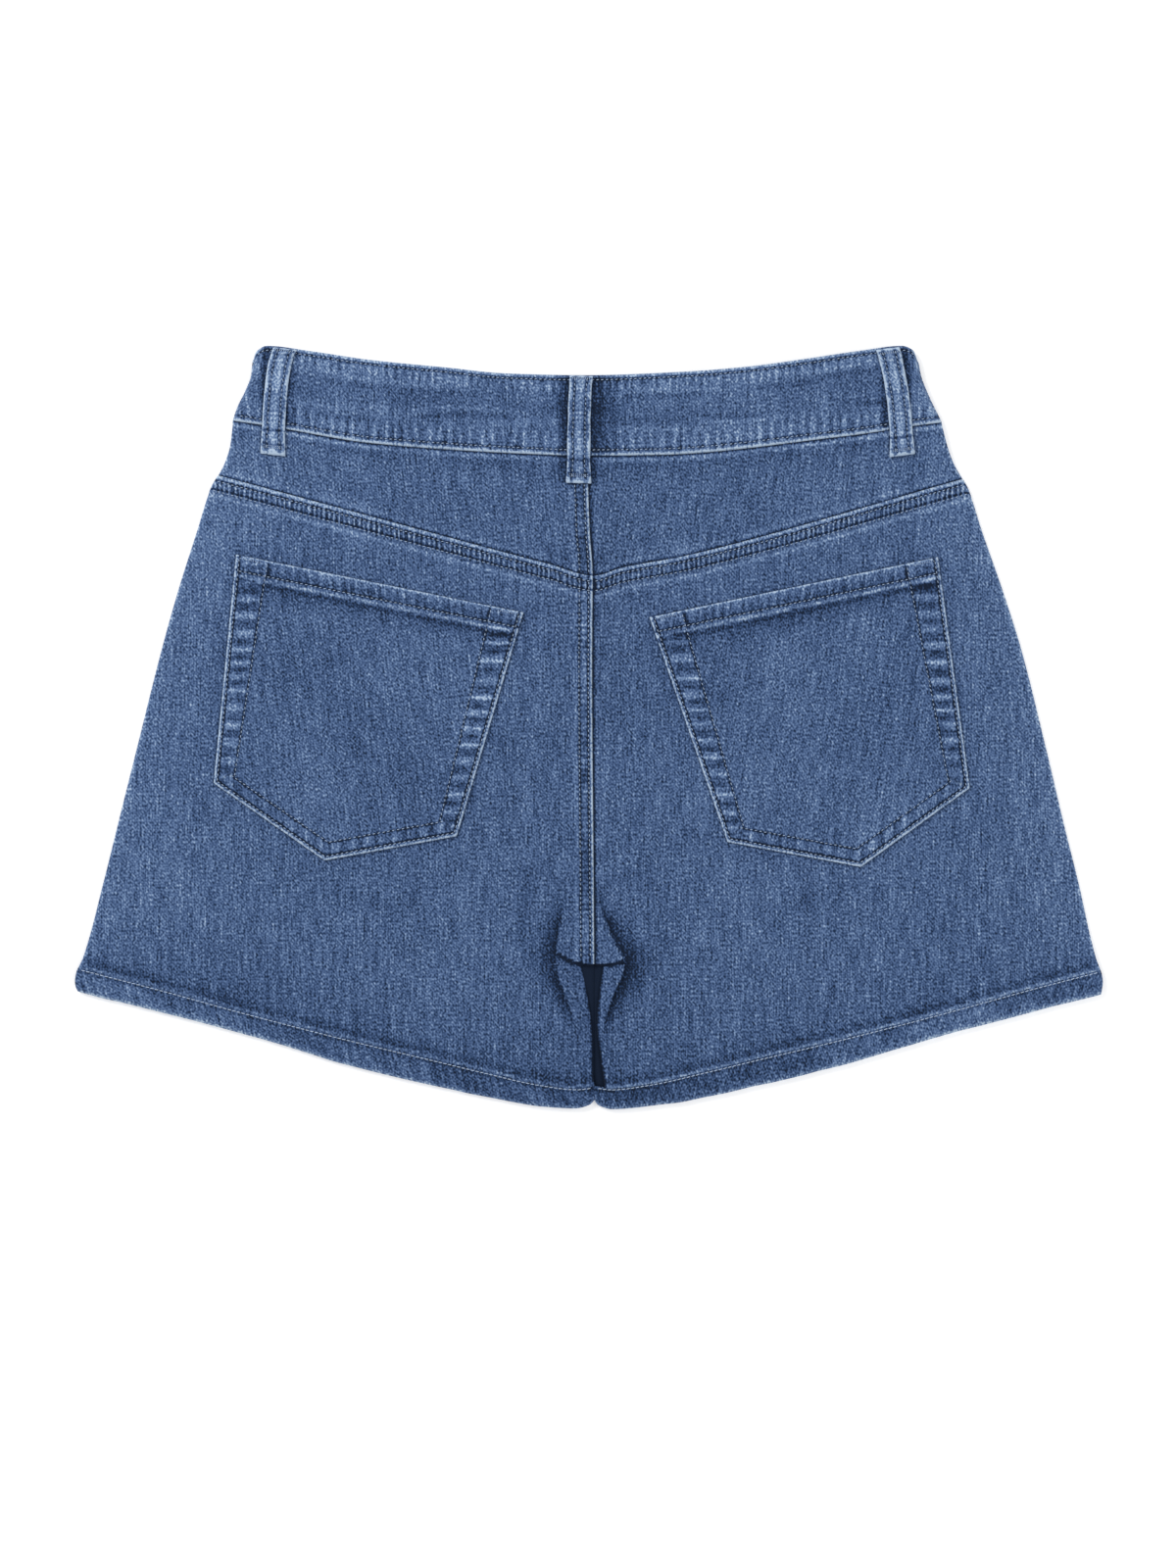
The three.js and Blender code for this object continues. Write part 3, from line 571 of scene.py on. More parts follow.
def makeDenim(name):
    material, nodes, links, shader = nodeTree(name)

    def do(operation, a, b=None, c=None):
        return addMath(nodes, links, operation, a, b, c)

    grain, wearAndShadeNode = nodes.new("ShaderNodeAttribute"), nodes.new("ShaderNodeAttribute")
    grain.attribute_name, wearAndShadeNode.attribute_name = "grain", "wearAndShade"
    vector = grain.outputs["Vector"]
    place = nodes.new("ShaderNodeSeparateXYZ")
    links.new(vector, place.inputs[0])
    bend = do("MULTIPLY", addNoise(nodes, links, vector, (420, 260, 1), 2), denim["bend"] * 2)
    across = do("DIVIDE", do("ADD", place.outputs[0], bend), denim["warp"])
    down = do("DIVIDE", do("ADD", place.outputs[1], bend), denim["weft"])
    yarn = do("FLOOR", across)
    fromMiddle = do("POWER", do("ABSOLUTE", do("SUBTRACT", do("FRACT", across), 0.5)), 2.0)
    step = do("DIVIDE", do("ADD", yarn, down), 4.0)  # each warp yarn floats over three weft yarns
    phase = do("SUBTRACT", do("FRACT", step), 0.125)
    weft = do("POWER", do("MAXIMUM", do("COSINE", do("MULTIPLY", phase, 2 * math.pi)), 0.0), 2.0)

    cell, white = nodes.new("ShaderNodeCombineXYZ"), nodes.new("ShaderNodeTexWhiteNoise")
    white.noise_dimensions = "2D"
    links.new(yarn, cell.inputs[0])
    links.new(do("FLOOR", step), cell.inputs[1])
    links.new(cell.outputs[0], white.inputs["Vector"])
    oneFloat = do("SUBTRACT", white.outputs["Value"], 0.5)
    strand = nodes.new("ShaderNodeCombineXYZ")
    links.new(do("MULTIPLY", across, 0.56), strand.inputs[0])
    links.new(do("MULTIPLY", place.outputs[1], 58.0), strand.inputs[1])
    slub = addNoise(nodes, links, strand.outputs[0], (1, 1, 1), 2, 0.5)
    speckle = addNoise(nodes, links, vector, (860, 740, 1), 0, 0.5)
    streak = addNoise(nodes, links, vector, (330, 15, 1), 1, 0.5)
    patch = addNoise(nodes, links, vector, (150, 90, 1), 3, 0.6)
    cloud = addNoise(nodes, links, vector, (16, 12, 1), 2)

    # This attribute shifts the tone: real wear and fades, and also painted shade in creases, crevices, stitch dents
    # and beside raised parts
    tone = do("ADD", 0.5 + denim["shift"], wearAndShadeNode.outputs["Fac"])
    weftTone = do("SUBTRACT", weft, 0.25)
    shares = {
        "weftLight": weftTone, "float": oneFloat, "slub": slub, "speckle": speckle,
        "streak": streak, "patch": patch, "cloud": cloud,
    }
    for key, source in shares.items():
        tone = do("MULTIPLY_ADD", source, denim[key], tone)
    # Each yarn is painted darker towards its edges, as shade on its round
    tone = do("MULTIPLY_ADD", fromMiddle, -4 * denim["yarnEdgeShade"], tone)
    height = do("MULTIPLY_ADD", speckle, 0.00013, do("MULTIPLY", weft, -0.00003))
    height = do("MULTIPLY_ADD", fromMiddle, -0.00006, height)
    for key, wisp in (("A", 0.3), ("B", 7.7)):
        seamTone, seamHeight = seamLook(nodes, links, key, wisp)
        tone, height = do("ADD", tone, seamTone), do("ADD", height, seamHeight)

    ramp = nodes.new("ShaderNodeValToRGB")
    stops = ramp.color_ramp.elements
    while len(stops) < len(denim["tones"]):
        stops.new(0.5)
    for stop, (at, colour) in zip(stops, denim["tones"]):
        stop.position = at
        stop.color = (*colour, 1)
    links.new(tone, ramp.inputs[0])
    links.new(ramp.outputs[0], shader.inputs["Base Color"])
    bump = nodes.new("ShaderNodeBump")
    bump.inputs["Strength"].default_value = 0.8
    bump.inputs["Distance"].default_value = 1.0
    links.new(height, bump.inputs["Height"])
    links.new(bump.outputs[0], shader.inputs["Normal"])
    shader.inputs["Roughness"].default_value = denim["rough"]
    shader.inputs["Specular IOR Level"].default_value = 0.2
    shader.inputs["Sheen Weight"].default_value = denim["sheen"]
    shader.inputs["Sheen Roughness"].default_value = 0.4
    shader.inputs["Sheen Tint"].default_value = (0.7, 0.8, 1, 1)
    return material


def makeThread(name, colour):
    material, nodes, links, shader = nodeTree(name)
    place = nodes.new("ShaderNodeTexCoord").outputs["Object"]
    twist = addNoise(nodes, links, place, (2600, 2600, 2600), 2)
    ramp = nodes.new("ShaderNodeValToRGB")
    ramp.color_ramp.elements[0].position, ramp.color_ramp.elements[1].position = 0.3, 0.7
    ramp.color_ramp.elements[0].color = (*[c * 0.6 for c in colour], 1)
    ramp.color_ramp.elements[1].color = (*[min(c * 1.25, 1) for c in colour], 1)
    links.new(addMath(nodes, links, "ADD", twist, 0.5), ramp.inputs[0])
    links.new(ramp.outputs[0], shader.inputs["Base Color"])
    shader.inputs["Roughness"].default_value = 0.7
    shader.inputs["Sheen Weight"].default_value = 0.2
    return material


def makeMetal(name, colour, rough):
    material, nodes, links, shader = nodeTree(name)
    place = nodes.new("ShaderNodeTexCoord").outputs["Object"]
    patina = addNoise(nodes, links, place, (420, 420, 420), 4, 0.6)
    ramp = nodes.new("ShaderNodeValToRGB")
    ramp.color_ramp.elements[0].color = (*[c * 0.45 for c in colour], 1)
    ramp.color_ramp.elements[1].color = (*colour, 1)
    links.new(addMath(nodes, links, "MULTIPLY_ADD", patina, 1.6, 0.6), ramp.inputs[0])
    links.new(ramp.outputs[0], shader.inputs["Base Color"])
    links.new(addMath(nodes, links, "MULTIPLY_ADD", patina, -0.5, rough), shader.inputs["Roughness"])
    shader.inputs["Metallic"].default_value = 1.0
    return material


denimCloth = makeDenim("denim")
threadBlue = makeThread("topstitch", (0.34, 0.45, 0.62))
threadPale = makeThread("topstitch_pale", (0.42, 0.53, 0.70))
brass = makeMetal("button_metal", (0.55, 0.38, 0.19), 0.34)
tapeCloth = makeThread("zip_tape", (0.03, 0.045, 0.09))
print("Materials made")


# Turns a grid of shares into a finished piece of cloth that rides on the body and stands for its solid
def finishCloth(look, surface, low, bulge=0.3):
    piece = closeSheet(look["name"], surface, low, denimCloth, bulge)
    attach(piece, "root")
    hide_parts(look["node"])
    area = planArea(surface["points"])
    width, length = look["flat"]
    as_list(look["restsOn"])
    print("Made", look["name"], len(piece.data.polygons), "faces, cut area", round(area, 4))
    return surface


def grainOf(x, y, turn=0.0):  # cloth coordinates in metres, turned to the piece's own grain
    c, s = math.cos(math.radians(turn)), math.sin(math.radians(turn))
    gx, gy = c * x + s * y, -s * x + c * y
    return np.stack([gx, gy, np.zeros_like(gx)], -1) * millimetre


seam = cloth["gap"] / 2
slant = 0.966  # turns a height above the sloping yoke seam or hem into a distance from it


def panelPoints(side, u, v, topY, bottomY, innerX):
    away = -seam if side == "left" else seam
    top = lambda x: topY(x) - seam
    bottom = lambda x: bottomY(x) + seam
    inner = lambda y: innerX(y) + away
    outerTop, outerLow = meetSide(side, top), meetSide(side, bottom)
    innerTopX, innerLowX = inner(top(centreX)), inner(bottom(centreX))
    return coons(
        u, v,
        overX(outerTop[0], innerTopX, top),
        overX(outerLow[0], innerLowX, bottom),
        overY(outerTop[1], outerLow[1], sideX[side]),
        overY(top(innerTopX), bottom(innerLowX), inner),
    )


def makeSurface(us, vs, points, high, wearAndShade, seams, turn=0.0):
    x, y = points[..., 0], points[..., 1]
    grid = np.stack([x, y, high], -1)
    return {"us": us, "vs": vs, "points": grid, "wearAndShade": wearAndShade, "grain": grainOf(x, y, turn), "seams": seams}


yokeSeamLook = {"seed": 21, "pitch": 2.9, "pucker": 0.5, "light": 0.34, "rope": 11, "height": 0.16, "rows": [2.8, 7.9]}
seatSeamLook = {"seed": 31, "pitch": 3.6, "pucker": 0.22, "light": 0.63, "rope": 9, "height": 0.24, "rows": [2.0, 7.4]}
hemJoinLook = {
    "seed": 41, "pitch": 8, "skew": 1.0, "pucker": 0.09, "light": 0.22, "outer": 0, "inner": 0,
    "rope": 8, "height": 0.14,
}


def felled(d, width=8.6, rise=0.8):  # raised band of a felled seam with a rounded folded edge
    return rise * smooth(-0.1, 0.8, d) * (1 - smooth(width - 0.6, width + 1.2, d))


fade = {"rim": (0.16, 0, 1.6), "side": 0.07, "sideReach": 26, "middle": -0.03, "middleReach": 70}


def sideFade(x, y):  # washed lighter towards the side seams, darker down the middle
    distance = fromSide(x, y)
    washed = fade["side"] * np.exp(-distance / fade["sideReach"])
    return mark(fade["rim"], distance) + washed + fade["middle"] * hump(x - centreX, fade["middleReach"])


def fromPocket(x, y):  # distance to the nearest pocket's edge
    nearest = np.full(x.shape, 1e9)
    for corners in pocketCorners.values():
        for (x0, y0), (x1, y1) in zip(corners, corners[1:] + corners[:1]):
            share = ((x - x0) * (x1 - x0) + (y - y0) * (y1 - y0)) / ((x1 - x0) ** 2 + (y1 - y0) ** 2)
            share = np.clip(share, 0, 1)
            nearest = np.minimum(nearest, np.hypot(x - mix(x0, x1, share), y - mix(y0, y1, share)))
    return nearest


# Back panels
backPanel = {
    "flat": (0.292, 0.356), "restsOn": ["front_left", "front_right"],
    "underYokeSeam": (0.2, 11.6, 1.2), "besideSeatSeam": (0.1, 9.6, 1.6), "seatSeamShadow": (-0.75, 0, 1.3),
    "hemShade": (-0.14, 3.9, 2.6), "hemFade": (-0.06, 0, 24), "hemLight": (0.22, 0.8, 0.8),
    "tongueShade": (-1.4, 0, 1.5), "tongueLip": (0.16, 0, 0.7), "pocketShade": 0.07, "pocketShadeReach": 3.5,
    "slitShade": {"left": 0.15, "right": 0.5}, "slitWidth": 0.7,
}


def backInner(side):
    def inner(y):
        return mix(seatSeamX(y), gapX[side](y), smooth(0, 1.2, -132.7 - y))

    return inner


def makeBack(side):
    us = gridLines((4, 0.7), (18, 2.2), (232, 2.35), (20, 1.25), (14, 0.75))
    vs = gridLines((13, 0.75), (195, 2.4), (10, 1.2), (16, 0.7), (38, 1.7), (16, 1.1))
    u, v = np.meshgrid(us, vs)
    points = panelPoints(side, u, v, yokeSeamY, hemLineY, backInner(side))
    x, y = points[..., 0], points[..., 1]
    low = backLow(x, y)
    folds, wearAndShade = creaseField(x, y)
    dYoke = (yokeSeamY(x) - y) * slant
    above = 1 - underTongue(x, y)
    seams = sewnEdge("A", dYoke - 0.7, dYoke - 8, x / slant, yokeSeamLook)
    ropeZ = roping(dYoke - 0.7, dYoke - 8, x, yokeSeamLook)
    ropeTone = mark(backPanel["underYokeSeam"], dYoke)
    raised = felled(dYoke, 9.4)
    if side == "left":
        dSeat = seatSeamX(y) - x
        seams.update(sewnEdge("B", dSeat, dSeat - 7.4, y, seatSeamLook, above))
        raised = np.maximum(raised, felled(dSeat) * above)
        ropeZ = ropeZ + roping(dSeat, dSeat - 7.4, y, seatSeamLook) * above
        blotch = ripple(y / 9 + 3, 34) * bell(dSeat - 4.6, 2.2)
        ropeTone = ropeTone + above * (0.2 * blotch + mark(backPanel["besideSeatSeam"], dSeat))
    else:
        dSeat = x - seatSeamX(y)
        # Painted shadow on the right panel beside the seat seam, where the left panel's folded edge lies over it
        ropeTone = ropeTone + mark(backPanel["seatSeamShadow"], dSeat) * above
        ropeTone = ropeTone + 0.1 * ripple(y / 8, 33) * bell(dSeat, 6) * above
    dHem = (y - hemLineY(x)) * slant
    joins = 1 - smooth(12, 26, dHem)
    if side == "right":
        seams.update(sewnEdge("B", dHem, dHem - 9, x, hemJoinLook, joins))
    hemZ = roping(dHem, dHem - 9, x + dHem, hemJoinLook) * joins
    hemWear = 0.03 * ripple((x + 1.2 * dHem) / 7.5, 42) * bell(dHem - 6, 7)
    dark = mark(backPanel["hemShade"], dHem) + mark(backPanel["hemFade"], dHem) + mark(backPanel["hemLight"], dHem)
    # The tongue's edge hangs over the inner thighs, in shadow
    under = underTongue(x, y)
    near = hump(x - 2, 21)
    drop = -1.2 * under * (1 - smooth(0, 30, tongueY(x) - y)) * near
    inside = smooth(-20.5, -17, x) * (1 - smooth(18, 21, x))
    shade = mark(backPanel["tongueShade"], np.maximum(tongueY(x) - y - 0.3, 0)) * under * inside
    lip = mark(backPanel["tongueLip"], tongueY(x) - y + 0.5) * inside
    # Painted shade along the cloth's edges at the slit between the legs, stronger on the right, and in a faint strip
    # beside it
    slitShade = backPanel["slitShade"][side]
    slit = -slitShade * under * bell(np.maximum(gapDistance(x, y), 0), backPanel["slitWidth"])
    strip = -0.03 * under * hump(gapDistance(x, y) - 6, 9) * smooth(-200, -150, y)
    wearAndShade = wearAndShade + ropeTone + hemWear + dark + shade + lip + slit + strip + sideFade(x, y)
    wearAndShade = wearAndShade - backPanel["pocketShade"] * np.exp(-fromPocket(x, y) / backPanel["pocketShadeReach"])
    high = low + cloth["thick"] + folds + raised + ropeZ + hemZ + drop - sideDrop(x, y)
    low = low + np.minimum(folds + drop, 0)
    surface = makeSurface(us, vs, points, high, wearAndShade, seams)
    look = {**backPanel, "name": f"back_{side}_cloth", "node": f"back_{side}"}
    return finishCloth(look, surface, np.maximum(low, 1.45))


# Yokes
yoke = {
    "flat": (0.226, 0.1), "restsOn": ["front_left", "front_right"],
    "underBandLight": (0.24, 2.6, 1.1), "underBandShade": (-0.08, 6, 4), "besideSeatSeam": (0.1, 9.6, 1.6),
    "yokeSeamShadow": (-0.55, 0, 0.9), "yokeSeamLight": (0.09, 2.9, 1.3), "seatSeamShadow": (-0.75, 0, 1.3),
    "loopShade": -0.4, "loopShadeX": -5.6, "loopShadeReach": 17,
}
# A negative light paints shade along the yoke's top edge, under the waistband
yokeTopLook = {
    "seed": 51, "pitch": 4.6, "pucker": 0.08, "light": -0.5, "outer": 0, "inner": 0, "rope": 7, "height": 0.12,
}


def makeYoke(side):
    us = gridLines((4, 0.8), (192, 2.1), (14, 0.8))
    vs = gridLines((10, 1.1), (52, 2.1), (6, 1.0))
    u, v = np.meshgrid(us, vs)
    points = panelPoints(side, u, v, bandSeamY, yokeSeamY, seatSeamX)
    x, y = points[..., 0], points[..., 1]
    low = backLow(x, y)
    folds, wearAndShade = creaseField(x, y)
    dBand = bandSeamY(x) - y
    seams = sewnEdge("A", dBand, dBand - 5, x, yokeTopLook)
    topZ = roping(dBand, dBand - 5, x, yokeTopLook)
    topTone = mark(yoke["underBandLight"], dBand) * (0.85 + 0.4 * ripple(x / 21, 53))
    # Painted shade a little below the waistband's edge
    topTone = topTone + mark(yoke["underBandShade"], dBand) * (0.8 + 0.5 * ripple(x / 26, 54))
    dYoke = (y - yokeSeamY(x)) * slant
    # Painted shadow on the yoke along the yoke seam, where the back panel's raised folded edge lies over it
    crevice = mark(yoke["yokeSeamShadow"], dYoke) + mark(yoke["yokeSeamLight"], dYoke)
    crevice = crevice + 0.08 * ripple(x / 5.5, 52) * bell(dYoke, 8)
    high = low + cloth["thick"] + folds + topZ - sideDrop(x, y)
    dSeat = seatSeamX(y) - x if side == "left" else x - seatSeamX(y)
    if side == "left":
        seams.update(sewnEdge("B", dSeat, dSeat - 7.4, y, seatSeamLook))
        high = high + felled(dSeat) + roping(dSeat, dSeat - 7.4, y, seatSeamLook)
        blotch = ripple(y / 8 + 3, 35) * bell(dSeat - 4.6, 2.2)
        wearAndShade = wearAndShade + 0.16 * blotch + mark(yoke["besideSeatSeam"], dSeat)
    else:
        # Painted shadow beside the seat seam, where the left yoke's folded edge lies over it
        wearAndShade = wearAndShade + mark(yoke["seatSeamShadow"], dSeat)
    loopShade = yoke["loopShade"] * hump(x - yoke["loopShadeX"], yoke["loopShadeReach"]) * smooth(132, 142, y)
    wearAndShade = wearAndShade + topTone + crevice + loopShade + sideFade(x, y)
    surface = makeSurface(us, vs, points, high, wearAndShade, seams, 6 if side == "left" else -6)
    look = {**yoke, "name": f"yoke_{side}_cloth", "node": f"yoke_{side}"}
    return finishCloth(look, surface, low)


# Front panels, flat on the surface. Rows for the fly and the centre seam show on their low faces.
frontPanel = {"flat": (0.292, 0.385), "restsOn": ["floor"], "centreShade": (-0.3, 0, 1.4), "gapShade": -0.95, "raise": 0.2}
fly = {"wide": 34, "tall": 40, "topY": 129, "turnY": 42, "between": 6, "inset": 2}
flyLook = {"pitch": 3.2, "pucker": 0.16, "light": 0}


def flyDistance(x, y):  # inwards from the outer row of the fly
    across = (x - centreX + fly["inset"]) / fly["wide"]
    down = np.minimum(y - fly["turnY"], 0) / fly["tall"]
    return fly["wide"] * (1 - np.hypot(across, down))


def makeFront(side):
    us = gridLines((3, 1), (270, 4), (14, 2))
    vs = gridLines((8, 2), (340, 4), (10, 2))
    u, v = np.meshgrid(us, vs)
    points = panelPoints(side, u, v, frontSeamY, hemLineY, lambda y: 0 * y + centreX)
    x, y = points[..., 0], points[..., 1]
    low = frontLow(x, y) + sideDrop(x, y) + frontPanel["raise"]
    high = frontLow(x, y) + cloth["thick"]
    # Painted shade: the fronts are darkened where they show through the slit between the legs, with a dark line where
    # the two fronts meet
    gapShade = hump(x - centreX, 26) * smooth(0, 12, -118 - y)
    wearAndShade = sideFade(x, y) + 0.06 * mottle(x / 30 + 4, y / 30 + 4, 61)
    wearAndShade = wearAndShade + mark(frontPanel["centreShade"], x - centreX)
    surface = makeSurface(us, vs, points, high, wearAndShade + frontPanel["gapShade"] * gapShade, {})
    surface["lowFace"] = {"wearAndShade": wearAndShade}
    if side == "left":
        inFly = flyDistance(x, y)
        fromCentre = centreX - x
        surface["lowFace"].update(sewnEdge("A", inFly + 2, inFly - fly["between"], y, flyLook))
        below = smooth(0, -10, y)
        surface["lowFace"].update(sewnEdge("B", fromCentre + 0.4, fromCentre - 7.6, y, seatSeamLook, below))
    look = {**frontPanel, "name": f"front_{side}_cloth", "node": f"front_{side}"}
    surface = finishCloth(look, surface, low, 0.25)
    surface["under"] = np.stack([x, y, low], -1)
    return surface


# Hems
hem = {"flat": (0.3, 0.0145), "restsOn": ["floor"]}
hemLook = {"pitch": 5, "skew": 0.3, "pucker": 0.1, "light": 0.2, "outer": 0, "inner": 0, "rope": 9, "height": 0.3}


def makeHem(side, face):
    us = gridLines((3, 0.6), (282, 1.5), (3, 0.6))
    vs = gridLines((2.4, 0.4), (8, 1), (2.6, 0.4))
    u, v = np.meshgrid(us, vs)
    points = panelPoints(side, u, v, hemLineY, lambda x: hemEdge[side](np.abs(x - centreX)), lambda y: 0 * y + centreX)
    x, y = points[..., 0], points[..., 1]
    depth = hemLineY(x) - hemEdge[side](np.abs(x - centreX))
    fromEdge = (1 - v) * depth * 0.96
    fromLine = v * depth * 0.96
    wave = 0.3 * ripple(x / 13 + 60, 75) * v  # the edge isn't quite straight
    points = points + np.stack([0 * x, wave], -1)
    look = {**hemLook, "seed": 71 if side == "left" else 76}
    seams = sewnEdge("A", fromEdge, fromEdge - 11, x, look)
    skewed = x + 1.2 * fromEdge
    ropeZ = roping(fromEdge, fromEdge - 11, skewed, look)
    ropeTone = 0.1 * ripple(skewed / 12 + 20, look["seed"] + 1) * hump(fromEdge - 7, 7)
    seldom = np.maximum(ripple(x / 14 + 5, look["seed"] + 2) - 0.45, 0) * hump((x % 14) - 7, 2.4)
    ropeTone = ropeTone + 0.5 * seldom * smooth(0, 3, fromLine)
    ends = np.minimum(np.abs(x - sideX[side](y)), np.abs(x - centreX))
    roundEnds = 0.9 * bell(ends, 0.9)
    roundEdge = 1.1 * (1 - smooth(0, 2.2, fromEdge)) ** 2
    dent = bell(fromLine - 0.7, 0.55)
    beside = bell(fromLine - 1.7, 0.7)
    full = 0.25 * hump(fromLine - 6, 5)
    thick = cloth["hem"] + full - roundEnds - roundEdge - 0.55 * dent - 0.25 * np.exp(-fromLine / 0.5)
    toSide = smooth(20, 230, np.abs(x + 8))
    # The stitch row's dent and the strip beside it are painted darker as shade
    wearAndShade = ropeTone + mix(-0.14, 0.0, toSide) - 0.1 * dent - 0.16 * beside + 0.05 * ripple(x / 24, 73)
    wearAndShade = wearAndShade + (mix(0.1, 0.2, toSide) + 0.06 * ripple(x / 4 + 30, 74)) * bell(fromEdge, 2.2)
    look = {**hem, "name": f"hem_{side}_{face}_cloth", "node": f"hem_{side}_{face}"}
    if face == "back":
        low = np.full(x.shape, cloth["hem"] + cloth["gap"])
        surface = makeSurface(us, vs, points, low + thick + ropeZ, wearAndShade, seams, 14 if side == "left" else -14)
        return finishCloth({**look, "restsOn": [f"hem_{side}_front"]}, surface, low)
    low = 0.12 + 0.55 * roundEdge + 0.5 * roundEnds + 0.2 * dent
    surface = makeSurface(us, vs, points, np.full(x.shape, cloth["hem"]), wearAndShade, seams, 14 if side == "left" else -14)
    surface["lowFace"] = {}
    surface = finishCloth(look, surface, low)
    surface["under"] = np.stack([points[..., 0], points[..., 1], low], -1)
    return surface


legs = {}
for side in ("left", "right"):
    legs[side] = {
        "back": makeBack(side),
        "yoke": makeYoke(side),
        "front": makeFront(side),
        "hemBack": makeHem(side, "back"),
        "hemFront": makeHem(side, "front"),
    }
print("Legs and yokes made")


# The finished top of the back panels, for what is sewn onto them
def backTop(x, y):
    return backLow(x, y) + cloth["thick"] + creaseField(x, y)[0]


# Pockets, with how far in the rows run
pocket = {
    "flat": (0.185, 0.185), "restsOn": ["back_left_cloth", "back_right_cloth"],
    "outerRow": 1.9, "innerRow": (18, 11.3), "bottomRow": 9, "hemRow": 8.8, "hemEdge": 11.3,
    # the rim shift paints shade around the pocket's edge
    "lowLean": 0.86, "rimShade": -1.1,  # lowLean turns a height above the slanting bottom into a distance from it
    "lip": (0.46, 11.5, 0.85), "underHem": (-0.22, 14, 1.8), "underHemSoft": (-0.1, 17, 6),
    "boxLight": (0.22, 17.2, 0.8), "boxShade": (-0.5, 18.8, 0.8), "topLight": (0.05, 3, 1.8),
}
pocketSide = {"pitch": 3.4, "pucker": 0.12, "light": 0.5, "outer": 1.35, "rope": 9.2, "height": 0.3}
pocketTop = {"pitch": 5.2, "pucker": 0.2, "light": 0.42, "outer": 0, "rope": 7, "height": 0.12}


def blobs(d, width, s, seed):  # ridges worn light and dips left dark, between the two rows of a pocket's edge
    turn = s / pocketSide["rope"] + 0.3 * ripple(s / 23 + 11, seed)
    wave = np.cos(2 * math.pi * turn)
    amount = 0.75 + 0.3 * ripple(s / 9 + 31, seed + 1)
    middle = hump(d - width / 2 - 1, width / 2)
    band = smooth(1.2, 2.8, d) * (1 - smooth(width - 1, width + 1.4, d))
    wearAndShade = amount * (0.44 * np.maximum(wave, 0) ** 4 * band - 0.34 * np.maximum(-wave, 0) ** 1.2 * middle)
    return 0.3 * wave * band * amount, wearAndShade


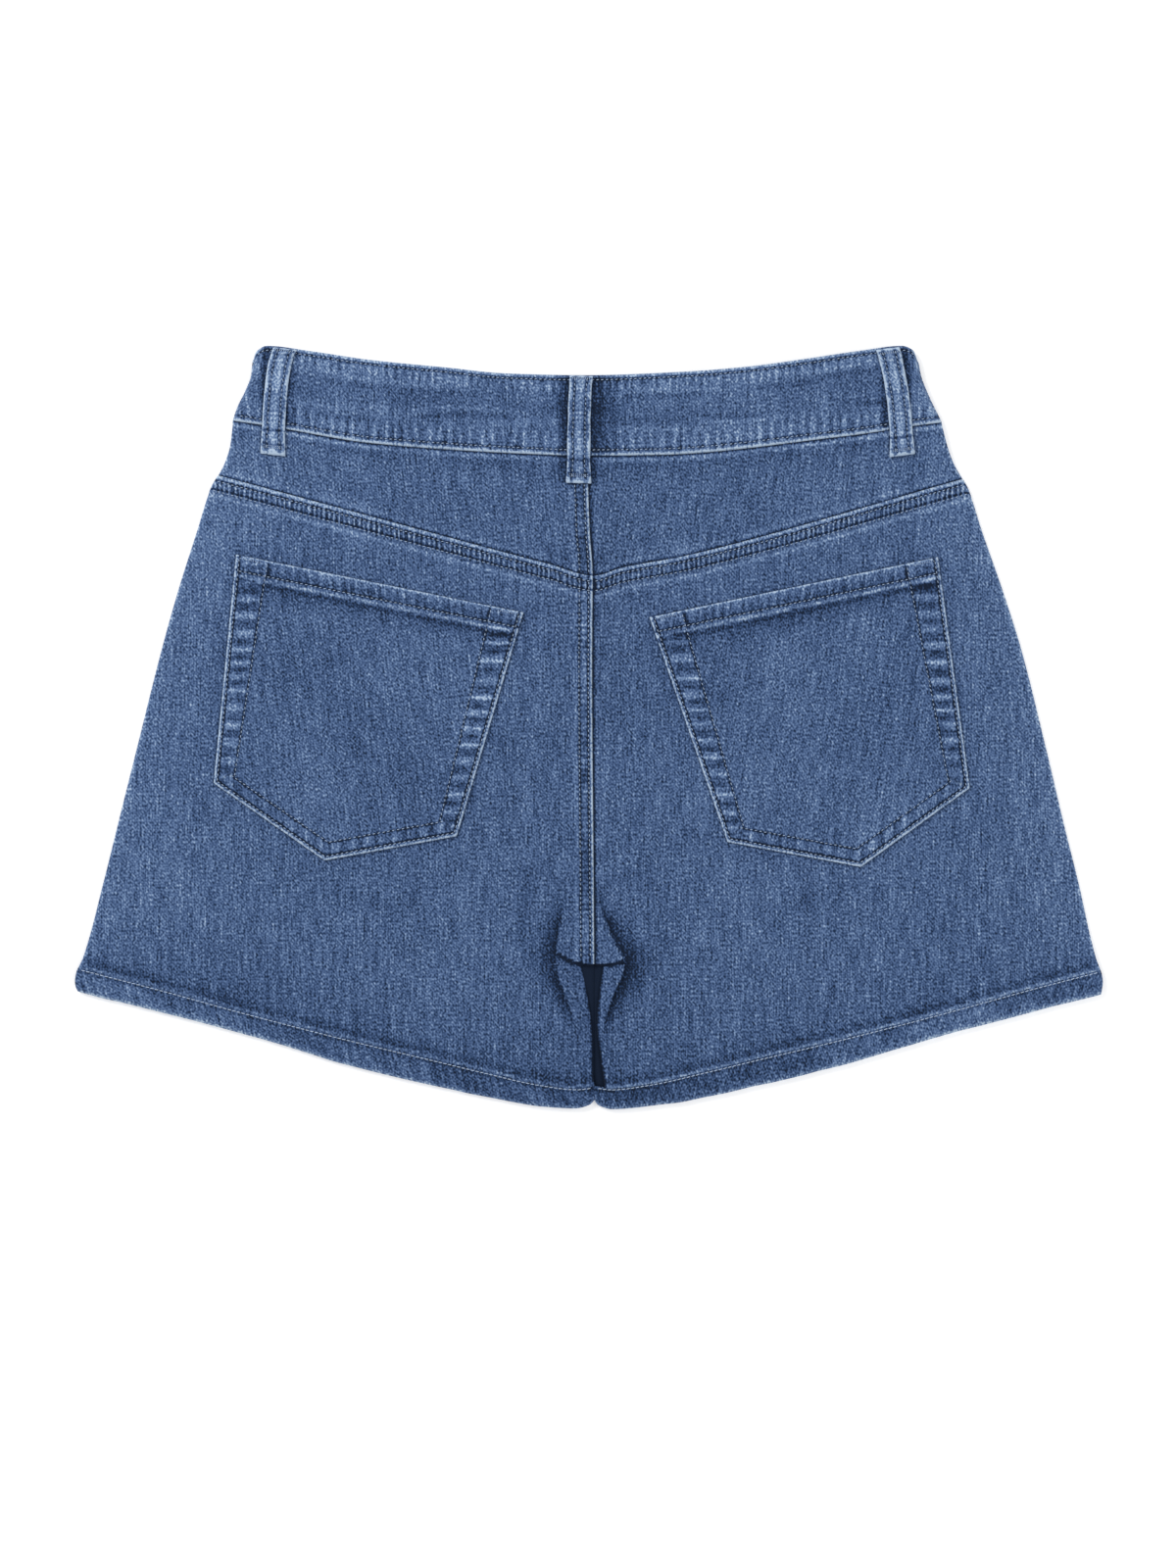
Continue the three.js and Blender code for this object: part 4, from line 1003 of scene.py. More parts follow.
def makePocket(side):
    corners = pocketCorners[side]
    topOuter, topInner, lowInner, point, lowOuter = corners
    seed = 81 if side == "left" else 91
    us = gridLines((21, 0.85), (42, 2.1), (14, 1.75), (42, 2.1), (21, 0.85))
    us = np.unique(np.concatenate([us, [0.5]]))
    vs = gridLines((14, 0.8), (104, 1.35), (13, 0.85))
    u, v = np.meshgrid(us, vs)

    def bottom(share):
        share = np.asarray(share, float)
        first = straight(lowOuter, point)(np.clip(share * 2, 0, 1))
        second = straight(point, lowInner)(np.clip(share * 2 - 1, 0, 1))
        return np.where((share < 0.5)[..., None], first, second)

    top, outer, inner = straight(topOuter, topInner), straight(topOuter, lowOuter), straight(topInner, lowInner)
    points = coons(u, v, top, bottom, outer, inner)
    x, y = points[..., 0], points[..., 1]
    wide = np.hypot(*(points[:, -1] - points[:, 0]).T)[:, None]
    tall = np.hypot(*(points[-1] - points[0]).T)[None, :]
    dOuter, dInner = u * wide, (1 - u) * wide
    dTop, dLow = v * tall, (1 - v) * tall * pocket["lowLean"]
    innerRow = mix(*pocket["innerRow"], v)
    low = backTop(x, y) + 0.12
    below = smooth(9.5, 11, dTop)
    edges = np.stack([dOuter, dInner, dLow])
    past = np.stack([dOuter - innerRow, dInner - innerRow, dLow - pocket["bottomRow"]])
    runs = np.stack([-y, -y, 0.9 * x])
    which = np.argmin(edges, 0)[None]
    nearest, run = edges.min(0), np.take_along_axis(runs, which, 0)[0]
    seams = sewnEdge("A", nearest, past.min(0), run, {**pocketSide, "inner": below})
    seams.update(sewnEdge("B", dTop, dTop - pocket["hemRow"], x, pocketTop))

    wearAndShade = 0.02 + 0.05 * mottle(x / 26, y / 34, seed)
    height = np.zeros(x.shape)
    sides = [
        (dOuter, -y, innerRow, 0, np.minimum(dInner, dLow)), (dInner, -y, innerRow, 3, np.minimum(dOuter, dLow)),
        (dLow, 1.1 * x, pocket["bottomRow"] + 0 * x, 6, np.minimum(dOuter, dInner)),
    ]
    for distance, along, width, number, others in sides:
        mine = smooth(-1.5, 1.5, others - distance) * below
        ridge, tint = blobs(distance, width, along, seed + number)
        share = 1.0 if number < 6 else 0.6
        height, wearAndShade = height + share * ridge * mine, wearAndShade + share * tint * mine
    turned = 1 - smooth(-0.5, 2, past.min(0))
    rise = np.maximum(0.7 * turned, 1.0 * (1 - smooth(pocket["hemEdge"] - 0.4, pocket["hemEdge"] + 1.2, dTop)))
    rise = rise * smooth(-0.2, 0.7, np.minimum(nearest, dTop))
    dents = bell(nearest - 2, 0.7) + bell(past.min(0), 0.7) * below
    dents = dents + bell(dTop - pocket["hemRow"], 0.7)
    hemZ = 0.14 * ripple(x / 7, seed + 12) * hump(dTop - 5, 5)
    lip = mark(pocket["lip"], dTop) * (0.85 + 0.4 * ripple(x / 3, seed + 13))
    # Painted shadow below the edge of the pocket's top hem
    belowHem = mark(pocket["underHem"], dTop) + mark(pocket["underHemSoft"], dTop)
    corner = np.minimum(dOuter, dInner)  # the turned ends of the top hem lie thicker
    # At the inner end of each thicker turned end: a worn light edge, then a dark line painted as shade
    box = mark(pocket["boxLight"], corner) + mark(pocket["boxShade"], corner)
    box = box * smooth(-0.5, 0.5, dTop) * (1 - below)
    topLight = mark(pocket["topLight"], dTop) * (1 + 1.2 * ripple(x / 6, seed + 14)) - 0.09 * hump(dTop - 6, 3.4)
    wearAndShade = wearAndShade + lip + belowHem + box + topLight - 0.03 * smooth(0, 30, nearest)
    high = low + cloth["thick"] + height + hemZ + rise - 0.18 * np.minimum(dents, 1)
    surface = makeSurface(us, vs, points, high, wearAndShade, seams, 8 if side == "left" else -8)
    surface.update({"wide": wide[:, 0], "tall": tall[0], "rimShade": pocket["rimShade"]})
    look = {**pocket, "name": f"pocket_{side}_cloth", "node": f"pocket_{side}"}
    return finishCloth(look, surface, low, 0.25)


pockets = {side: makePocket(side) for side in ("left", "right")}
print("Pockets made")

# Creases across the waistband, as on the back: a light ridge, then a dip below it painted darker as shade
bandCreases = [
    {"at": [(-152, 202.5), (-112, 194), (-22, 190.5)], "width": 2.8, "height": 0.3, "wearAndShade": 0.15},
    {"at": [(-168, 199), (-108, 190), (-24, 186.5)], "width": 2.8, "height": -0.35, "wearAndShade": -0.17},
    {"at": [(-168, 183), (-140, 179.5), (-112, 180)], "width": 3, "height": 0.3, "wearAndShade": 0.12},
    {"at": [(-152, 176), (-134, 173.2), (-116, 171.6)], "width": 2.8, "height": -0.35, "wearAndShade": -0.15},
    {"at": [(-98, 178.5), (-70, 179.6), (-38, 177.5)], "width": 2.4, "height": 0.3, "wearAndShade": 0.13},
    {"at": [(-98, 173.5), (-70, 175.8), (-42, 173.2)], "width": 2.8, "height": -0.4, "wearAndShade": -0.2},
    {"at": [(-62, 169.5), (-40, 171), (-18, 171.5)], "width": 2.6, "height": 0.3, "wearAndShade": 0.1},
    {"at": [(8, 190.2), (40, 189.4), (72, 190)], "width": 2.4, "height": 0.3, "wearAndShade": 0.15},
    {"at": [(22, 186), (44, 186), (66, 187.6)], "width": 2.6, "height": -0.35, "wearAndShade": -0.16},
    {"at": [(90, 190), (110, 192), (128, 194)], "width": 2.4, "height": -0.35, "wearAndShade": -0.14},
    {"at": [(112, 198), (136, 201), (160, 204.5)], "width": 2.4, "height": 0.3, "wearAndShade": 0.12},
    {"at": [(118, 194), (140, 198), (162, 200.6)], "width": 2.4, "height": -0.35, "wearAndShade": -0.18},
    {"at": [(142, 183.6), (154, 182), (166, 184)], "width": 2.6, "height": -0.35, "wearAndShade": -0.16},
    {"at": [(60, 175.5), (80, 174.3), (98, 175.6)], "width": 2.6, "height": -0.4, "wearAndShade": -0.17},
    {"at": [(66, 170.8), (98, 173), (134, 177)], "width": 2.4, "height": 0.3, "wearAndShade": 0.13},
    {"at": [(8, 167), (36, 167.4), (62, 167.6)], "width": 2.4, "height": 0.3, "wearAndShade": 0.13},
    {"at": [(12, 171.4), (34, 172), (54, 171.8)], "width": 2.6, "height": -0.35, "wearAndShade": -0.12},
]

# Waistband
band = {
    "flat": (0.408, 0.046), "restsOn": ["waistband_front_left", "waistband_front_right"],
    "topRow": 2.3, "lowRow": 2.9, "wide": 400, "frontTall": 44,
    "loops": [-175.5, -5.4, 172.5], "loopShade": {"side": 0.34, "centre": 0.46},
    "lowRowShade": (-0.42, 3, 0.75), "endLight": (0.14, 0, 5),
}
bandTopLook = {"seed": 101, "pitch": 4.6, "pucker": 0.24, "light": 0.28, "inner": 0, "rope": 6, "height": 0.2}
bandLowLook = {
    "seed": 111, "pitch": 6, "pucker": 0.27, "light": 0.55, "outer": 0, "inner": 0, "rope": 6, "height": 0.22,
}


def bandSurface(u, v, startX, endX, startSeamX, endSeamX, topY, seamY):
    lower = lambda x: seamY(x) + seam

    def end(x, seamX):
        def edge(share):
            y = mix(topY(x), lower(seamX), share)
            place = 0 * y + x if abs(x - centreX) < 1 else sideX["left" if x < 0 else "right"](y)
            return np.stack([place, y], -1)

        return edge

    return coons(
        u, v, overX(startX, endX, topY), overX(startSeamX, endSeamX, lower),
        end(startX, startSeamX), end(endX, endSeamX),
    )


def makeBackBand():
    us = gridLines((3, 0.6), (10, 1.2), (372, 1.6), (10, 1.2), (3, 0.6))
    vs = gridLines((4, 0.5), (36, 1.6), (5, 0.6))
    u, v = np.meshgrid(us, vs)
    seams = [meetSide(side, bandSeamY)[0] for side in ("left", "right")]
    points = bandSurface(u, v, bandTopRows[0][0], bandTopRows[-1][0], *seams, bandTopY, bandSeamY)
    x, y = points[..., 0], points[..., 1]
    tall = np.hypot(*(points[-1] - points[0]).T)[None, :]
    dTop, dLow = v * tall, (1 - v) * tall
    dEnd = np.minimum(u, 1 - u) * band["wide"]
    low = bandLow(x, y)
    topEnd, lowEnd = 8 + 1.5 * ripple(x / 19, 125), 12 + 2.5 * ripple(x / 17, 126)
    seams = sewnEdge("A", dTop, dTop - topEnd, x, bandTopLook)
    seams.update(sewnEdge("B", dLow, dLow - lowEnd, x, bandLowLook))
    topZ = roping(dTop, dTop - topEnd, x, bandTopLook)
    lowZ = roping(dLow, dLow - lowEnd, x, bandLowLook)
    topTone = 0.05 * hump(dTop - 5.5, 5) * (1 + ripple(x / 15, 127))
    # Painted shade in the dent of the lower row
    lowWearAndShade = 0.02 * hump(dLow - 7, 7) * (1 + 3 * ripple(x / 15, 128)) + mark(band["lowRowShade"], dLow)
    roundTop = 1.1 * (1 - smooth(0, 1.8, dTop)) ** 2
    roundLow = 0.5 * (1 - smooth(0, 1.2, dLow)) ** 2
    roundEnd = 1.0 * (1 - smooth(0, 2.2, dEnd)) ** 2
    middle = hump(dTop - 22, 15)
    creasesAcross = ripple(v * 7 + 0.5 * ripple(x / 60, 121), 122) * (0.5 + 0.5 * ripple(x / 34, 123))
    creaseZ, creaseWearAndShade = creaseShapes(x, y, bandCreases)
    high = low + cloth["band"] + topZ + lowZ - roundTop - roundLow - roundEnd + 0.2 * creasesAcross * middle + creaseZ
    # The ripples across the middle are worn lighter on their rises and painted darker as shade in their dips
    wearAndShade = 0.06 + topTone + lowWearAndShade - 0.07 * middle + 0.1 * creasesAcross * middle + 0.03 * mottle(x / 20, y / 8, 124)
    wearAndShade = wearAndShade + creaseWearAndShade
    for loopX in band["loops"]:
        central = abs(loopX) < 50
        reach = np.where(x > loopX, 12, 5.5) if central else 2.6
        shade = band["loopShade"]["centre" if central else "side"]
        wearAndShade = wearAndShade - shade * bell(np.maximum(np.abs(x - loopX) - 6, 0), reach)
    wearAndShade = wearAndShade + mark(band["endLight"], dEnd)
    surface = makeSurface(us, vs, points, high, wearAndShade, seams)
    surface["grain"] = np.stack([x, -dTop, 0 * x], -1) * millimetre
    surface["tall"] = tall[0]
    return finishCloth({**band, "name": "waistband_back_cloth", "node": "waistband_back"}, surface, low)


def makeFrontBand(side):
    us = gridLines((3, 0.8), (190, 3), (3, 0.8))
    vs = gridLines((4, 0.8), (36, 3), (4, 0.8))
    u, v = np.meshgrid(us, vs)
    startX = bandTopRows[0][0] if side == "left" else bandTopRows[-1][0]
    endX = centreX - seam if side == "left" else centreX + seam
    points = bandSurface(u, v, startX, endX, meetSide(side, frontSeamY)[0], endX, frontBandTopY, frontSeamY)
    x, y = points[..., 0], points[..., 1]
    dTop, dLow = v * band["frontTall"], (1 - v) * band["frontTall"]
    seams = sewnEdge("A", dTop, dTop - 8, x, bandTopLook)
    seams.update(sewnEdge("B", dLow, dLow - 12, x, bandLowLook))
    low = lift(x, y) + 0.8 * (1 - smooth(0, 1.8, dTop)) ** 2
    low = low + 0.12 * (1 + ripple(x / 7, 129)) * (hump(dTop - 6, 6) + hump(dLow - 7, 7))
    low = low + 0.1 + 0.2 * bell(dTop - 2.3, 1) + 0.2 * bell(dLow - 2.3, 1)
    high = lift(x, y) + cloth["band"]
    surface = makeSurface(us, vs, points, high, 0.05 * ripple(x / 11, 130), seams)
    surface["lowFace"] = {}
    surface["grain"] = np.stack([x, -dTop, 0 * x], -1) * millimetre
    look = {"flat": (0.206, 0.046), "restsOn": ["floor"], "name": f"waistband_front_{side}_cloth"}
    surface = finishCloth({**look, "node": f"waistband_front_{side}"}, surface, low)
    surface["under"] = np.stack([x, y, low], -1)
    return surface


backBand = makeBackBand()
frontBands = {side: makeFrontBand(side) for side in ("left", "right")}
print("Waistband made")

# Belt loops: centre of the top, the middle and the bottom
loop = {
    "flat": (0.0136, 0.0625), "wide": 12.6, "thick": 1.9, "fold": 8, "foldRise": 0.9, "rowIn": 3.0,
    # the rim shift paints shade around each loop's edge
    "frontLong": 58, "wearAndShade": {"side": 0.14, "centre": 0.07}, "rimShade": -1.2,
    "edge": (0.6, 0, 1.0), "end": (0.6, 0, 1.2), "frontEdge": (0.22, 0, 1.3),
    "back": {
        "loop_back_left": [(-170.4, 212.4), (-175.2, 193), (-177.4, 153.2)],
        "loop_back_centre": [(-4.2, 196.8), (-5.4, 176), (-5.8, 137)],
        "loop_back_right": [(167.6, 212.5), (173.2, 186), (175.8, 152.8)],
    },
    "front": {"loop_front_left": -95, "loop_front_right": 101},
}


def makeLoop(name):
    (x0, y0), (x1, y1), (x2, y2) = loop["back"][name]
    length = math.hypot(x2 - x0, y2 - y0)
    us = gridLines((1.6, 0.4), (9.4, 0.78), (1.6, 0.4))
    vs = gridLines((2, 0.5), (length - 4, 1.1), (2, 0.5))
    u, v = np.meshgrid(us, vs)
    centre = np.stack([
        (1 - v) * (1 - 2 * v) * a + 4 * v * (1 - v) * b + v * (2 * v - 1) * c
        for a, b, c in ((x0, x1, x2), (y0, y1, y2))
    ], -1)
    wide = loop["wide"] + 1.0 * smooth(0.82, 1, v) + 0.35 * ripple(v * 9, len(name))
    across = (u - 0.5) * wide
    x = centre[..., 0] + across
    y = centre[..., 1] + across * (x2 - x0) / length
    fell = 0.8 if name == "loop_back_centre" else 0
    onBand = smooth(-9, -2, y - bandSeamY(x))
    low = mix(backLow(x, y) + cloth["thick"] + fell, bandLow(x, y) + cloth["band"], onBand) + cloth["gap"]
    dEnd = np.minimum(v, 1 - v) * length
    folded = 1 - smooth(loop["fold"] - 0.8, loop["fold"] + 0.6, dEnd)
    dSide = np.minimum(u, 1 - u) * wide
    edgeRound = 0.75 * (1 - smooth(0, 1.4, dSide)) ** 2 + 0.9 * (1 - smooth(0, 1.6, dEnd)) ** 2
    rows = bell(dSide - loop["rowIn"], 0.6)
    ridge = 0.28 * hump(across, 2.6)
    rope = ripple(v * length / 4.5, 130 + len(name)) * hump(dSide - 1.2, 2.2)
    bars = bell(dEnd - 2.9, 1.0)
    crease = bell(dEnd - loop["fold"] - 0.4, 0.7) * (v > 0.5)
    high = low + loop["thick"] + loop["foldRise"] * folded - edgeRound - 0.25 * rows + ridge + 0.12 * rope
    high = high - 0.3 * bars - 0.25 * crease
    wearAndShade = loop["wearAndShade"]["centre" if fell else "side"] + mark(loop["edge"], dSide) + 0.2 * hump(across, 3.0)
    # rows, bars and crease are painted darker as shade in the dents of the rows, the bar tacks and the crease where
    # the loop lifts
    wearAndShade = wearAndShade - 0.52 * rows + 0.22 * rope + mark(loop["end"], dEnd) - 0.32 * bars - 0.4 * crease
    wearAndShade = wearAndShade + 0.08 * ripple(v * length / 9 + 5, 140 + len(name))
    points = np.stack([x, y], -1)
    surface = makeSurface(us, vs, points, high, wearAndShade, {})
    surface["grain"] = np.stack([across, y, 0 * x], -1) * millimetre
    surface.update({"length": length, "rimShade": loop["rimShade"]})
    look = {**loop, "name": f"{name}_cloth", "node": name, "restsOn": ["waistband_back_cloth"]}
    return finishCloth(look, surface, low, 0.2)


def makeFrontLoop(name):
    middle = loop["front"][name]
    us, vs = gridLines((1.6, 0.4), (9.4, 1.2), (1.6, 0.4)), gridLines((2, 0.5), (54, 2), (2, 0.5))
    u, v = np.meshgrid(us, vs)
    x = middle + (u - 0.5) * loop["wide"]
    y = frontBandTopY(middle) - v * loop["frontLong"]
    dSide = np.minimum(u, 1 - u) * loop["wide"]
    dEnd = np.minimum(v, 1 - v) * loop["frontLong"]
    rows = bell(dSide - loop["rowIn"], 0.6)
    low = 0.1 + 0.5 * (1 - smooth(0, 1.4, dSide)) ** 2 + 0.5 * (1 - smooth(0, 1.6, dEnd)) ** 2 + 0.2 * rows
    # The rows' dents are painted darker as shade
    wearAndShade = 0.12 + mark(loop["frontEdge"], dSide) - 0.3 * rows
    surface = makeSurface(us, vs, np.stack([x, y], -1), np.full(x.shape, loop["thick"]), wearAndShade, {})
    surface["lowFace"] = {}
    look = {**loop, "name": f"{name}_cloth", "node": name, "restsOn": ["floor"]}
    surface = finishCloth(look, surface, low, 0.2)
    surface["under"] = np.stack([x, y, low], -1)
    return surface


backLoops = {name: makeLoop(name) for name in loop["back"]}
frontLoops = {name: makeFrontLoop(name) for name in loop["front"]}
print("Belt loops made")

# Stitches, each a short thread with pinched ends
stitch = {"pitch": 2.65, "share": 0.55, "wide": 0.5, "arch": 0.16, "sides": 5, "slant": 0.1}
threads = {"verts": [], "faces": [], "count": 0}


def sewAlong(path, pitch=stitch["pitch"], wide=stitch["wide"], share=stitch["share"], up=1):
    steps = np.hypot(*np.diff(path[:, :2], axis=0).T)
    run = np.concatenate([[0], np.cumsum(steps)])
    number = int(run[-1] // pitch)
    if number < 1:
        return
    pitch = run[-1] / number
    stations = np.array([0, 0.2, 0.5, 0.8, 1])
    starts = (np.arange(number) + (1 - share) / 2) * pitch
    s = starts[:, None] + stations[None] * pitch * share
    centre = np.stack([np.interp(s, run, path[:, k]) for k in range(3)], -1)
    along = centre[:, -1] - centre[:, 0]
    along = along / np.maximum(np.linalg.norm(along, axis=1, keepdims=True), 1e-9)
    side = np.stack([-along[:, 1], along[:, 0], 0 * along[:, 0]], -1)[:, None]
    centre = centre + side * (stations - 0.5)[None, :, None] * 2 * stitch["slant"]
    centre[..., 2] += up * (0.06 + stitch["arch"] * np.sin(stations * math.pi))[None]
    centre[..., 2] = np.maximum(centre[..., 2], 0.28)  # the thread presses into the cloth that lies on the floor
    radius = wide / 2 * np.array([0.3, 0.9, 1, 0.9, 0.3])
    angle = np.arange(stitch["sides"]) * 2 * math.pi / stitch["sides"] + math.pi / 2
    ring = side[:, :, None] * np.cos(angle)[None, None, :, None]
    ring = ring + np.array([0, 0, 1.0])[None, None, None] * np.sin(angle)[None, None, :, None] * 0.8
    verts = centre[:, :, None] + ring * radius[None, :, None, None]
    sides, rings = stitch["sides"], len(stations)
    base = threads["count"] + np.arange(number)[:, None, None] * sides * rings
    r, k = np.meshgrid(np.arange(rings - 1), np.arange(sides), indexing="ij")
    a, b = r * sides + k, r * sides + (k + 1) % sides
    quads = np.stack([a, b, b + sides, a + sides], -1)[None] + base[..., None]
    threads["faces"] += quads.reshape(-1, 4)[:, ::-1].tolist()
    caps = np.arange(sides)[None] + base[:, :, 0]
    threads["faces"] += caps.tolist() + (caps[:, ::-1] + sides * (rings - 1)).tolist()
    threads["verts"].append(verts.reshape(-1, 3))
    threads["count"] += number * sides * rings


def finishThreads(name, material=threadBlue):
    verts = np.concatenate(threads["verts"])
    piece = makeMesh(name, verts, threads["faces"], {}, material)
    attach(piece, "root")
    print("Sewn", name, len(threads["faces"]), "faces")
    threads.update({"verts": [], "faces": [], "count": 0})
    return piece


def sewRow(surface, u, v, **kind):
    sewAlong(onSurface(surface, u, v), **kind)


def between(start, end, count=500):
    return np.linspace(start, end, count)


# Rows along the seams of the legs and yokes
for side, parts in legs.items():
    back, yokeCloth = parts["back"], parts["yoke"]
    tall = np.hypot(*(back["points"][-1] - back["points"][0])[..., :2].T)
    tallAt = lambda u: np.interp(u, back["us"], tall)
    across = between(0.004, 0.996, 900)
    for row in yokeSeamLook["rows"]:
        sewRow(back, across, row / slant / tallAt(across))
    if side == "left":
        for surface, ends in ((back, (0.01, 0.745)), (yokeCloth, (0.03, 0.985))):
            wide = np.hypot(*(surface["points"][:, -1] - surface["points"][:, 0])[..., :2].T)
            down = between(*ends, 900)
            for row in seatSeamLook["rows"]:
                sewRow(surface, 1 - row / np.interp(down, surface["vs"], wide), down)
finishThreads("stitches_seams")
for parts in legs.values():
    sewRow(parts["hemBack"], between(0.006, 0.994, 900), np.full(900, 0.055), share=0.84, wide=0.56)
finishThreads("stitches_hems", threadPale)

for side, surface in pockets.items():
    wideAt = lambda v: np.interp(v, surface["vs"], surface["wide"])
    tallAt = lambda u: np.interp(u, surface["us"], surface["tall"])
    out, lean = pocket["outerRow"], pocket["lowLean"]
    down = between(0.012, 1 - out / 130, 500)
    sewRow(surface, out / wideAt(down), down)
    sewRow(surface, 1 - out / wideAt(down), down)
    for first, last in ((0.012, 0.5), (0.5, 0.988)):
        across = between(first, last, 300)
        sewRow(surface, across, 1 - out / lean / tallAt(across))
    low = pocket["bottomRow"]
    down = between(0.012, 1 - low / lean / 128, 500)
    inside = mix(*pocket["innerRow"], down)
    sewRow(surface, inside / wideAt(down), down)
    sewRow(surface, 1 - inside / wideAt(down), down)
    for first, last in ((low / 135, 0.5), (0.5, 1 - low / 135)):
        across = between(first, last, 300)
        sewRow(surface, across, 1 - low / lean / tallAt(across))
    across = between(out / 160, 1 - out / 160, 500)
    sewRow(surface, across, pocket["hemRow"] / tallAt(across))
    for start, end in ((0.012, 0.088), (0.988, 0.912)):
        across = between(start, end, 40)
        sewRow(surface, across, np.full(40, 0.012), pitch=1.2)
finishThreads("stitches_pockets")

across = between(0.006, 0.994, 900)
sewRow(backBand, across, band["topRow"] / np.interp(across, backBand["us"], backBand["tall"]))
sewRow(backBand, across, 1 - band["lowRow"] / np.interp(across, backBand["us"], backBand["tall"]))
for surface in backLoops.values():
    down = between(0.03, 0.97, 200)
    for inset in (loop["rowIn"] / 12.8, 1 - loop["rowIn"] / 12.8):
        sewRow(surface, np.full(200, inset), down)
    for place in (3.0 / surface["length"], 1 - 2.6 / surface["length"]):
        for shift in (-0.35, 0.35):
            sewRow(surface, between(0.08, 0.92, 40), np.full(40, place + shift / surface["length"]), pitch=1.1)
finishThreads("stitches_waist")

# Under the shorts: rows on the outer face of the fronts
for side, parts in legs.items():
    flipped = {**parts["hemFront"], "points": parts["hemFront"]["under"]}
    sewAlong(onSurface(flipped, between(0.01, 0.99, 700), np.full(700, 0.055)), up=-1)
    flipped = {**frontBands[side], "points": frontBands[side]["under"]}
    for v in (0.06, 0.94):
        sewAlong(onSurface(flipped, between(0.01, 0.985, 500), np.full(500, v)), up=-1)
for inset in (0, fly["between"]):
    wide, tall = fly["wide"] - inset, fly["tall"] - inset
    turn = np.linspace(0, math.pi / 2, 30)
    x = np.concatenate([np.full(60, wide), wide * np.cos(turn)])
    y = np.concatenate([np.linspace(fly["topY"], fly["turnY"], 60), fly["turnY"] - tall * np.sin(turn)])
    x = centreX - fly["inset"] - x
    sewAlong(np.column_stack([x, y, frontLow(x, y)]), up=-1)
for inset in (1.6, 7.6):
    y = np.linspace(-8, -128, 200)
    sewAlong(np.column_stack([np.full(200, centreX - inset), y, frontLow(np.full(200, centreX - inset), y)]), up=-1)
for surface in frontLoops.values():
    flipped = {**surface, "points": surface["under"]}
    for inset in (0.24, 0.76):
        sewAlong(onSurface(flipped, np.full(200, inset), between(0.04, 0.96, 200)), up=-1)
finishThreads("stitches_front")
print("Stitches sewn")


# Metal and tape keep the solids' shapes with better finishes
for node, material in (("button_waist", brass), ("zip_slider", brass), ("zip_tape", tapeCloth)):
    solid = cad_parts[node]
    solid.data.materials.clear()
    solid.data.materials.append(material)

# Teeth of the zip, in turn from the two tapes
teeth = {"x": -8, "from": 31, "to": 101.4, "pitch": 1.55, "reach": 0.7, "half": (1.3, 0.4, 0.35), "up": 2.1}


def makeTeeth():
    verts, faces = [], []
    wide, deep, tall = teeth["half"]
    for k in range(int((teeth["to"] - teeth["from"]) / teeth["pitch"] * 2)):
        y = teeth["from"] + (k + 0.5) * teeth["pitch"] / 2
        x = teeth["x"] + (teeth["reach"] if k % 2 else -teeth["reach"])
        z = float(frontLow(np.array([teeth["x"]]), np.array([y]))[0]) + cloth["thick"] + teeth["up"]
        for up, inset in ((-1, 1), (1, 0.8)):
            for dx, dy in ((-1, -1), (1, -1), (1, 1), (-1, 1)):
                verts.append((x + wide * dx * inset, y + deep * dy * inset, z + tall * up))
        for face in ((3, 2, 1, 0), (4, 5, 6, 7), (0, 1, 5, 4), (1, 2, 6, 5), (2, 3, 7, 6), (3, 0, 4, 7)):
            faces.append([8 * k + corner for corner in face])
    piece = makeMesh("zip_teeth", np.array(verts), faces, {}, brass)
    piece.data.polygons.foreach_set("use_smooth", [False] * len(faces))
    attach(piece, "root")


makeTeeth()
print("Zip teeth set")

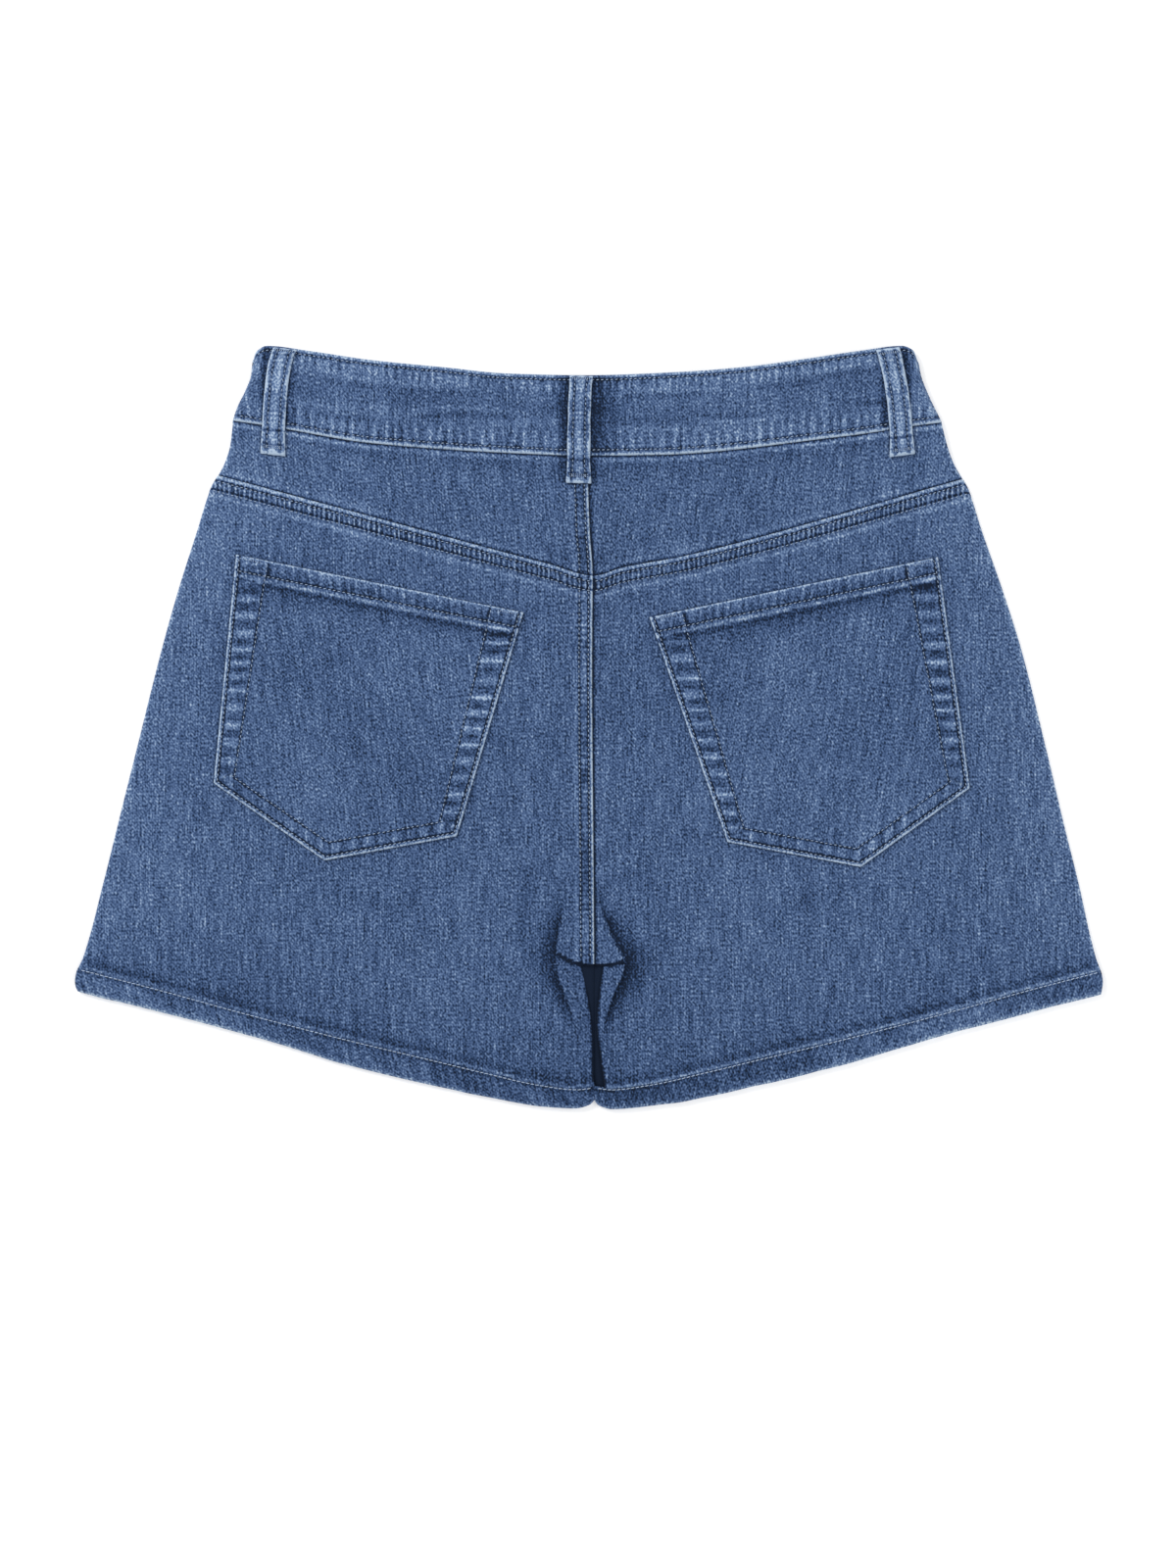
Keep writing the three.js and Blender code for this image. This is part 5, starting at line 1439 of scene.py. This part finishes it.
# Floor, light and camera
studio = {
    "floor": 6.0, "floorTone": (0.86, 0.86, 0.86), "floorGlow": 0.3,
    "world": 0.50, "key": 27, "keyAt": (-1.3, 1.1, 1.5), "keySize": 0.9,
    "fill": 21, "fillAt": (1.2, -0.4, 2.0), "fillSize": 1.8,
}


def makeFloor():
    half = studio["floor"] / 2
    mesh = bpy.data.meshes.new("floor")
    mesh.from_pydata([(-half, -half, 0), (half, -half, 0), (half, half, 0), (-half, half, 0)], [], [(0, 1, 2, 3)])
    material, nodes, links, shader = nodeTree("floor")
    shader.inputs["Base Color"].default_value = (*studio["floorTone"], 1)
    shader.inputs["Emission Color"].default_value = (1, 1, 1, 1)
    shader.inputs["Emission Strength"].default_value = studio["floorGlow"]
    shader.inputs["Roughness"].default_value = 0.9
    shader.inputs["Specular IOR Level"].default_value = 0.1
    mesh.materials.append(material)
    floor = bpy.data.objects.new("floor", mesh)
    floor.location.z = -0.0002
    bpy.context.scene.collection.objects.link(floor)


def addArea(name, power, place, size):
    light = bpy.data.lights.new(name, "AREA")
    light.energy, light.size = power, size
    lamp = bpy.data.objects.new(name, light)
    lamp.location = place
    aim = -lamp.location
    lamp.rotation_mode = "QUATERNION"
    lamp.rotation_quaternion = aim.to_track_quat("-Z", "Y")
    bpy.context.scene.collection.objects.link(lamp)


makeFloor()
addArea("key", studio["key"], studio["keyAt"], studio["keySize"])
addArea("fill", studio["fill"], studio["fillAt"], studio["fillSize"])
world = bpy.data.worlds.new("studio")
world.use_nodes = True
world.node_tree.nodes["Background"].inputs[0].default_value = (1, 1, 1, 1)
world.node_tree.nodes["Background"].inputs[1].default_value = studio["world"]
bpy.context.scene.world = world
bpy.context.scene.view_settings.view_transform = "Standard"

shot = {"lens": 100, "tall": 0.880, "at": (-0.00055, -0.0316)}  # the photo's height in metres, and its centre
lens = bpy.data.cameras.new("camera")
lens.lens, lens.sensor_width = shot["lens"], 36
camera = bpy.data.objects.new("camera", lens)
camera.location = (*shot["at"], shot["tall"] * shot["lens"] / lens.sensor_width + 0.006)
bpy.context.scene.collection.objects.link(camera)
bpy.context.scene.camera = camera
print("Studio ready")
